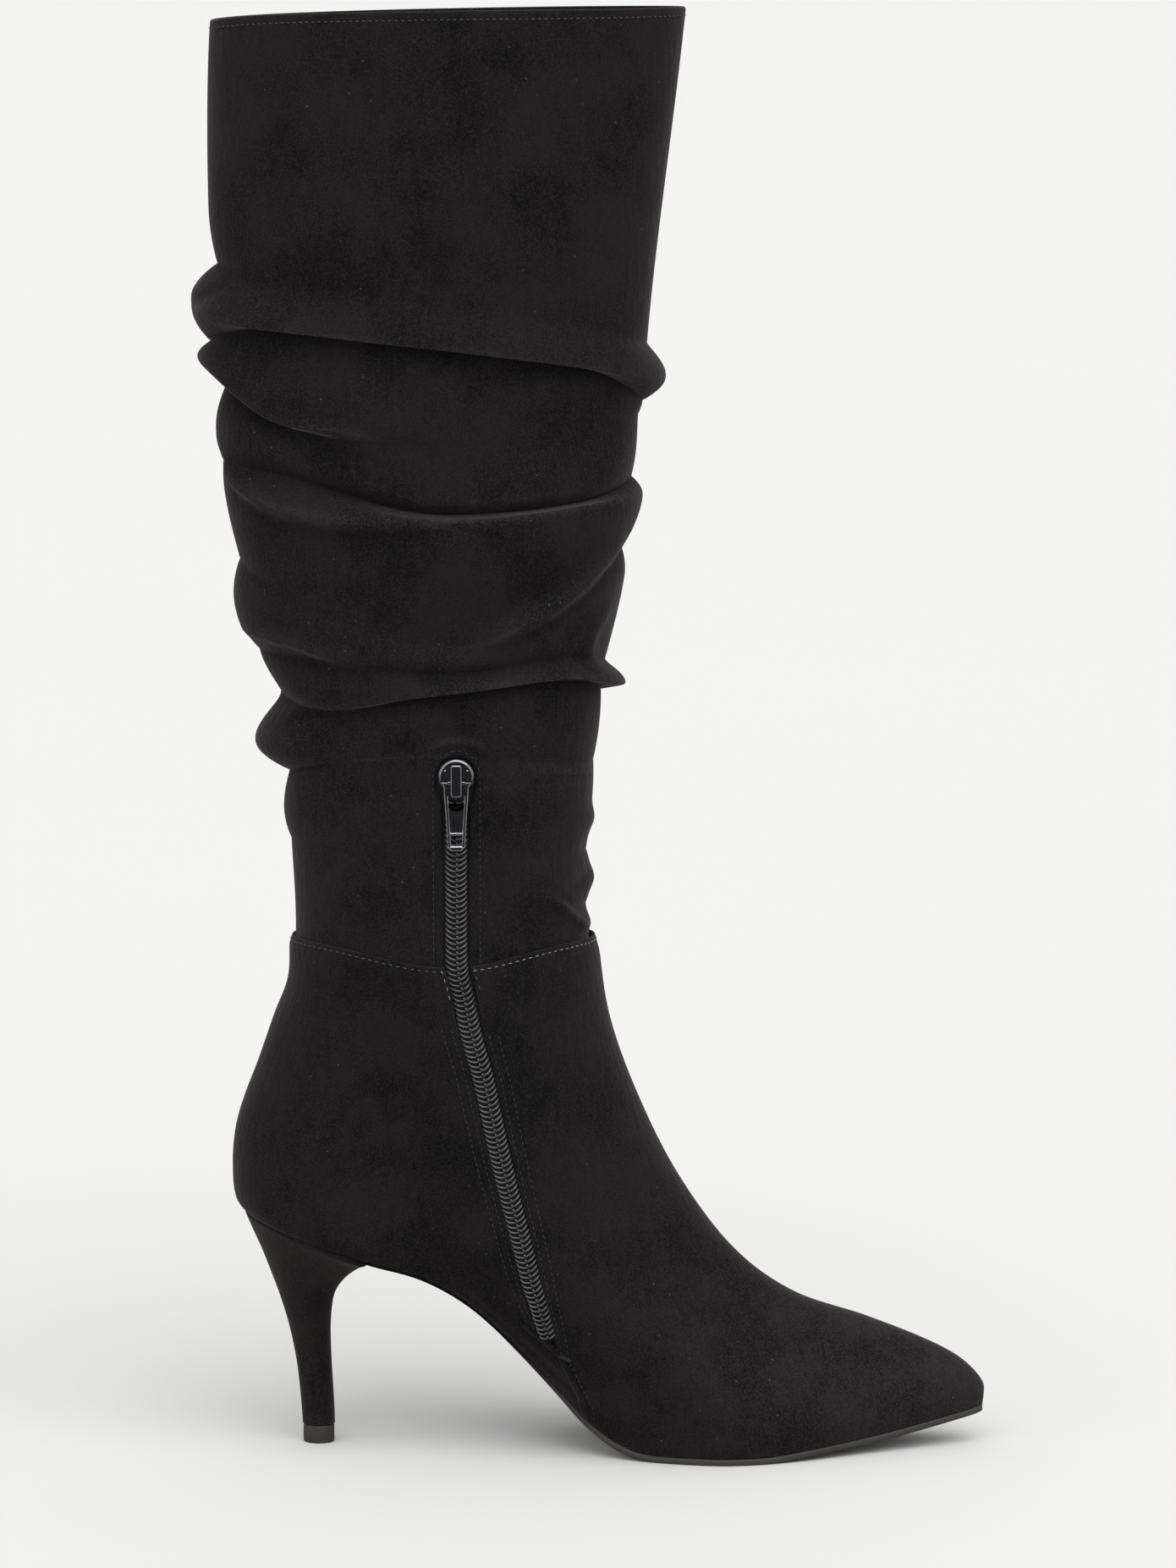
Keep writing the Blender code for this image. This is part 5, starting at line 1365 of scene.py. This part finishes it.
def on_leg(x, z):
    """Points of the leg's outer face at places beside the zip, and its normals there."""
    apart = np.hypot(leg_skin[:, 0] - x[:, None], leg_skin[:, 2] - z[:, None])
    near = np.argsort(apart, axis=1)[:, :6]
    weight = 1 / (np.take_along_axis(apart, near, 1) + 0.0002) ** 2
    weight = (weight / weight.sum(1, keepdims=True))[..., None]
    normals = unit((leg_skin_normals[near] * weight).sum(1))
    normals = np.where(normals[:, 1:2] > 0, -normals, normals)
    y = (leg_skin[near] * weight).sum(1)[:, 1]
    return np.stack([x, y, z], 1) + normals * THREAD_LIFT, normals


arch = np.linspace(-math.pi / 2, math.pi / 2, 24)
middle_x = float(leg_plain(INNER_SIDE + zip_lean(0.23), np.array(0.23))[0])
for side in (-1, 1):
    z = np.linspace(SLIDER_ROW_TOP - 0.0002, 0.1680, 60)
    black_lines.append(on_leg(middle_x + side * SLIDER_ROW_ASIDE + 0 * z, z))
arch_x = middle_x + SLIDER_ROW_ASIDE * np.sin(arch)
black_lines.append(on_leg(arch_x, SLIDER_ROW_TOP + SLIDER_ARCH_RISE * np.cos(arch)))
for place in SLOT_ROW_PLACES:
    points, normals, _ = zip_line(place, 300)
    kept = points[:, 2] < SLOT_ROWS_TOP
    black_lines.append((points[kept] + normals[kept] * (WALL + THREAD_LIFT), normals[kept]))
rings = np.linspace(7.15, 9.85, 60)
points, normals = beside_zip(foot_points, INNER_SIDE - SOLE_SEAM_BEHIND + 0 * rings, rings, SOLE_SEAM_ASIDE)
black_lines.append((points + normals * THREAD_LIFT, normals))
black_stitches = laid_along(
    "seam_stitches",
    black_lines,
    STITCHES,
    (("Pitch", 0.0021), ("Stitch Length", 0.0013), ("Thread", 0.00032), ("Sway", 0.16)),
    BLACK_THREAD,
)

# The lapped seams. Below the zip the foot's front panel laps over the back one down to the sole, and a
# narrow strip of suede, with a folded end of tape beside it, finishes the zip's lower end.


def lap_on_foot(name, corners, height, rows, columns, finish):
    """A thin padded strip on the foot. corners gives (degrees forward of the inner side, ring) twice for
    each end, near edge and far edge, along its length."""
    corners = np.array(corners, float)
    steps = np.arange(len(corners))
    run = np.linspace(0, len(corners) - 1, rows)
    near = np.stack([smooth(steps, corners[:, i], run) for i in (0, 1)], 1)
    far = np.stack([smooth(steps, corners[:, i], run) for i in (2, 3)], 1)
    across = np.linspace(0, 1, columns)[:, None]
    places = near[:, None] * (1 - across) + far[:, None] * across
    azimuth, ring = INNER_SIDE + np.radians(places[..., 0]), places[..., 1]
    face, normals = beside_zip(foot_points, azimuth, ring, 0.0)
    u = np.linspace(-1, 1, rows)[:, None]
    v = np.linspace(-1, 1, columns)[None, :]
    rise = height * (1 - np.abs(u) ** 12) ** 0.5 * (1 - np.abs(v) ** 4) ** 0.5
    top, low = face + normals * rise[..., None], face - normals * 0.0004
    points = np.concatenate([top.reshape(-1, 3), low.reshape(-1, 3)])
    grid = np.arange(rows * columns).reshape(rows, columns)
    faces = quads(grid, closed=False) + [face[::-1] for face in quads(grid + grid.size, closed=False)]
    border = np.concatenate([grid[0, :-1], grid[:-1, -1], grid[-1, :0:-1], grid[:0:-1, 0]])
    after = np.roll(border, -1)
    faces += np.stack([border, after, after + grid.size, border + grid.size], 1).tolist()
    made = piece_of(name, points, faces, (finish,))


lap_on_foot(
    "front_seam_lap",
    ((-5.4, 7.05, -3.4, 7.02), (-5.6, 8.2, -3.7, 8.2), (-5.6, 9.0, -3.8, 9.0), (-5.0, 9.9, -3.4, 9.95)),
    0.00080,
    48,
    9,
    FOOT_SUEDE,
)
lap_on_foot(
    "zip_end_binding",
    (
        (-11.4, 7.05, -11.2, 7.42),
        (-9.0, 7.02, -9.2, 7.34),
        (-6.0, 6.98, -6.2, 7.24),
        (-3.6, 6.96, -3.8, 7.16),
    ),
    0.00075,
    22,
    9,
    FOOT_SUEDE,
)
lap_on_foot(
    "zip_end_tab",
    ((-4.9, 7.13, -4.2, 6.99), (-3.9, 7.08, -3.2, 6.94), (-2.6, 7.03, -2.0, 6.90)),
    0.0009,
    12,
    9,
    TAPE_CLOTH,
)

# The slider and its pull. Both are die-cast zinc in black lacquer; the top bevel of every edge is
# light metal, a painted highlight. The slider's bridge holds the pull's hinge bar, so that the pull
# hangs flat and swings up.
SLIDER_HINGE_DROP = 0.0087
SLIDER_PLATE = 0.0014


def lacquered_zinc(name, dark, light, roughness):
    """Cast metal under a glossy lacquer, with faint casting ripple and wiped dust."""
    made, tree, shader = finish_named(name)
    place = node_in(tree, "ShaderNodeTexCoord").outputs["Object"]
    tone, cloud = mottled(tree, place, 900.0, 3.0, dark, light)
    tree.links.new(tone, shader.inputs["Base Color"])
    wear_and_painted_light = ranged(tree, cloud, 0.0, 1.0, roughness * 0.7, roughness * 1.4)
    tree.links.new(wear_and_painted_light, shader.inputs["Roughness"])
    shader.inputs["Metallic"].default_value = 1.0
    return made


BLACK_ZINC = lacquered_zinc("black_lacquered_zinc", (0.018, 0.018, 0.020), (0.045, 0.045, 0.050), 0.22)
# Light metal for the top bevels of every edge: a painted highlight.
HIGHLIGHT_ZINC = lacquered_zinc("painted_highlight_zinc_edges", (0.20, 0.20, 0.21), (0.42, 0.42, 0.44), 0.25)
hinge_z = ZIP_TOP_HEIGHT - SLIDER_HINGE_DROP
hinge_azimuth = INNER_SIDE + math.radians(ZIP_LEG_LEAN)
above, below = (leg_plain(hinge_azimuth, np.array(hinge_z + d)) for d in (0.001, -0.001))
slider_out = unit(np.array([0.0, below[2] - above[2], above[1] - below[1]]))
slider_down = np.array([0.0, -slider_out[2], slider_out[1]])
slider_down = slider_down if slider_down[2] < 0 else -slider_down
plate_top = leg_plain(hinge_azimuth, np.array(hinge_z)) + slider_out * (2 * GAP + SLIDER_PLATE)


def inset(outline, by):
    """An outline drawn in all round."""
    ahead, behind = np.roll(outline, -1, 0) - outline, outline - np.roll(outline, 1, 0)
    turned = unit(unit(ahead) + unit(behind))
    left = np.stack([-turned[:, 1], turned[:, 0]], 1)
    x, y = outline.T
    area = (x * np.roll(y, -1) - y * np.roll(x, -1)).sum()
    return outline + left * by * (1 if area > 0 else -1)


def metal_plates(name, plates, body, node):
    """One piece of several plates. Each has an outline in mm as (side, down), its lowest and highest
    level over the slider's plate in mm, and the width of its bevelled edge in mm, whose top bevel is
    light metal as a painted highlight."""
    points, faces, finish_at = [], [], []
    for outline, low, high, edge in plates:
        outline = np.array(outline, float)
        levels = ((inset(outline, edge * 0.5), low), (outline, low + edge * 0.5))
        levels += ((outline, high - edge * 0.7), (inset(outline, edge), high))
        sections = []
        for ring, level in levels:
            at = plate_top + np.outer(ring[:, 0] / 1000, (1.0, 0.0, 0.0))
            at = at + np.outer(ring[:, 1] / 1000, slider_down)
            sections.append(at + slider_out * level / 1000)
        solid, made = closed_loft(sections)
        count = len(outline)
        # The top bevel takes the light metal as a painted highlight; the rest is black lacquer.
        finish_at += [0] * (2 * count) + [1] * count + [0, 0]
        faces += [[int(i) + len(points) for i in face] for face in made]
        points += solid.tolist()
    piece = piece_of(name, points, faces, (BLACK_ZINC, HIGHLIGHT_ZINC), body, finish_at)
    piece.data.set_sharp_from_angle(angle=math.radians(25))
    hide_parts(node)


def arc_of(radius, first, last, count, down, squeeze=1.0):
    """An arc's points, its middle at a distance down."""
    turns = np.radians(np.linspace(first, last, count))
    return [(radius * math.sin(t), down - radius * squeeze * math.cos(t)) for t in turns]


def bar(half, top, foot, taper=0.0, rounding=0.5):
    """A rounded bar's outline."""
    r = rounding
    low = half - taper
    return [(-half + r, top), (half - r, top), (half, top + r), (low, foot - r), (low - r, foot)] + [
        (-low + r, foot), (-low, foot - r), (-half, top + r)
    ]


crown = arc_of(5.6, -86, 86, 25, -1.6, 1.05) + [(5.2, -0.9), (1.9, -1.5), (-1.9, -1.5), (-5.2, -0.9)]
shield = arc_of(5.8, -80, 80, 21, -1.8) + [(5.4, 0.0), (3.95, 1.6), (3.8, 5.4)]
shield += [(-3.8, 5.4), (-3.95, 1.6), (-5.4, 0.0)]
metal_plates(
    "zip_slider_metal",
    (
        (shield, -1.4, 0.0, 0.12),
        (crown, -0.2, 0.60, 0.38),
        (bar(1.75, -6.1, 4.3), 1.95, 2.75, 0.32),
        (bar(1.60, -6.1, -3.9), 0.4, 2.2, 0.30),
        (bar(1.60, 3.0, 4.5), -0.3, 2.2, 0.40),
        (arc_of(0.45, 0, 330, 8, -3.4), 0.6, 1.00, 0.20),
        ([(x - 3.6, y) for x, y in arc_of(0.38, 0, 330, 8, -4.0)], 0.6, 1.05, 0.22),
        ([(x + 3.6, y) for x, y in arc_of(0.38, 0, 330, 8, -4.0)], 0.6, 1.05, 0.22),
    ),
    "boot",
    "zip_slider",
)
arm = [(4.9, -0.36), (4.15, 0.8), (3.95, 4.5), (3.55, 9.5), (2.75, 21.3)]
arm += [(1.75, 21.3), (1.9, 17.0), (2.35, 9.0), (2.65, 5.0), (2.60, 0.6), (3.0, -0.30)]
mouth = arc_of(2.75, 90, -90, 13, 6.6, -0.82)
web = mouth + [(-2.9, 9.6), (-2.05, 17.0), (2.05, 17.0), (2.9, 9.6)]
metal_plates(
    "zip_pull_metal",
    (
        (arm, 0.50, 1.62, 0.36),
        ([(-x, y) for x, y in arm[::-1]], 0.50, 1.62, 0.36),
        (web, 0.5, 1.45, 0.36),
        (bar(2.6, 16.3, 17.3, 0.05, 0.3), 0.5, 1.70, 0.36),
        (bar(2.6, 20.7, 22.4, 0.4, 0.6), 0.4, 1.75, 0.50),
        (bar(3.0, -0.5, 0.5, 0.0, 0.3), 0.5, 1.5, 0.2),
    ),
    "pull_tab",
    "zip_pull",
)

low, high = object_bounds()
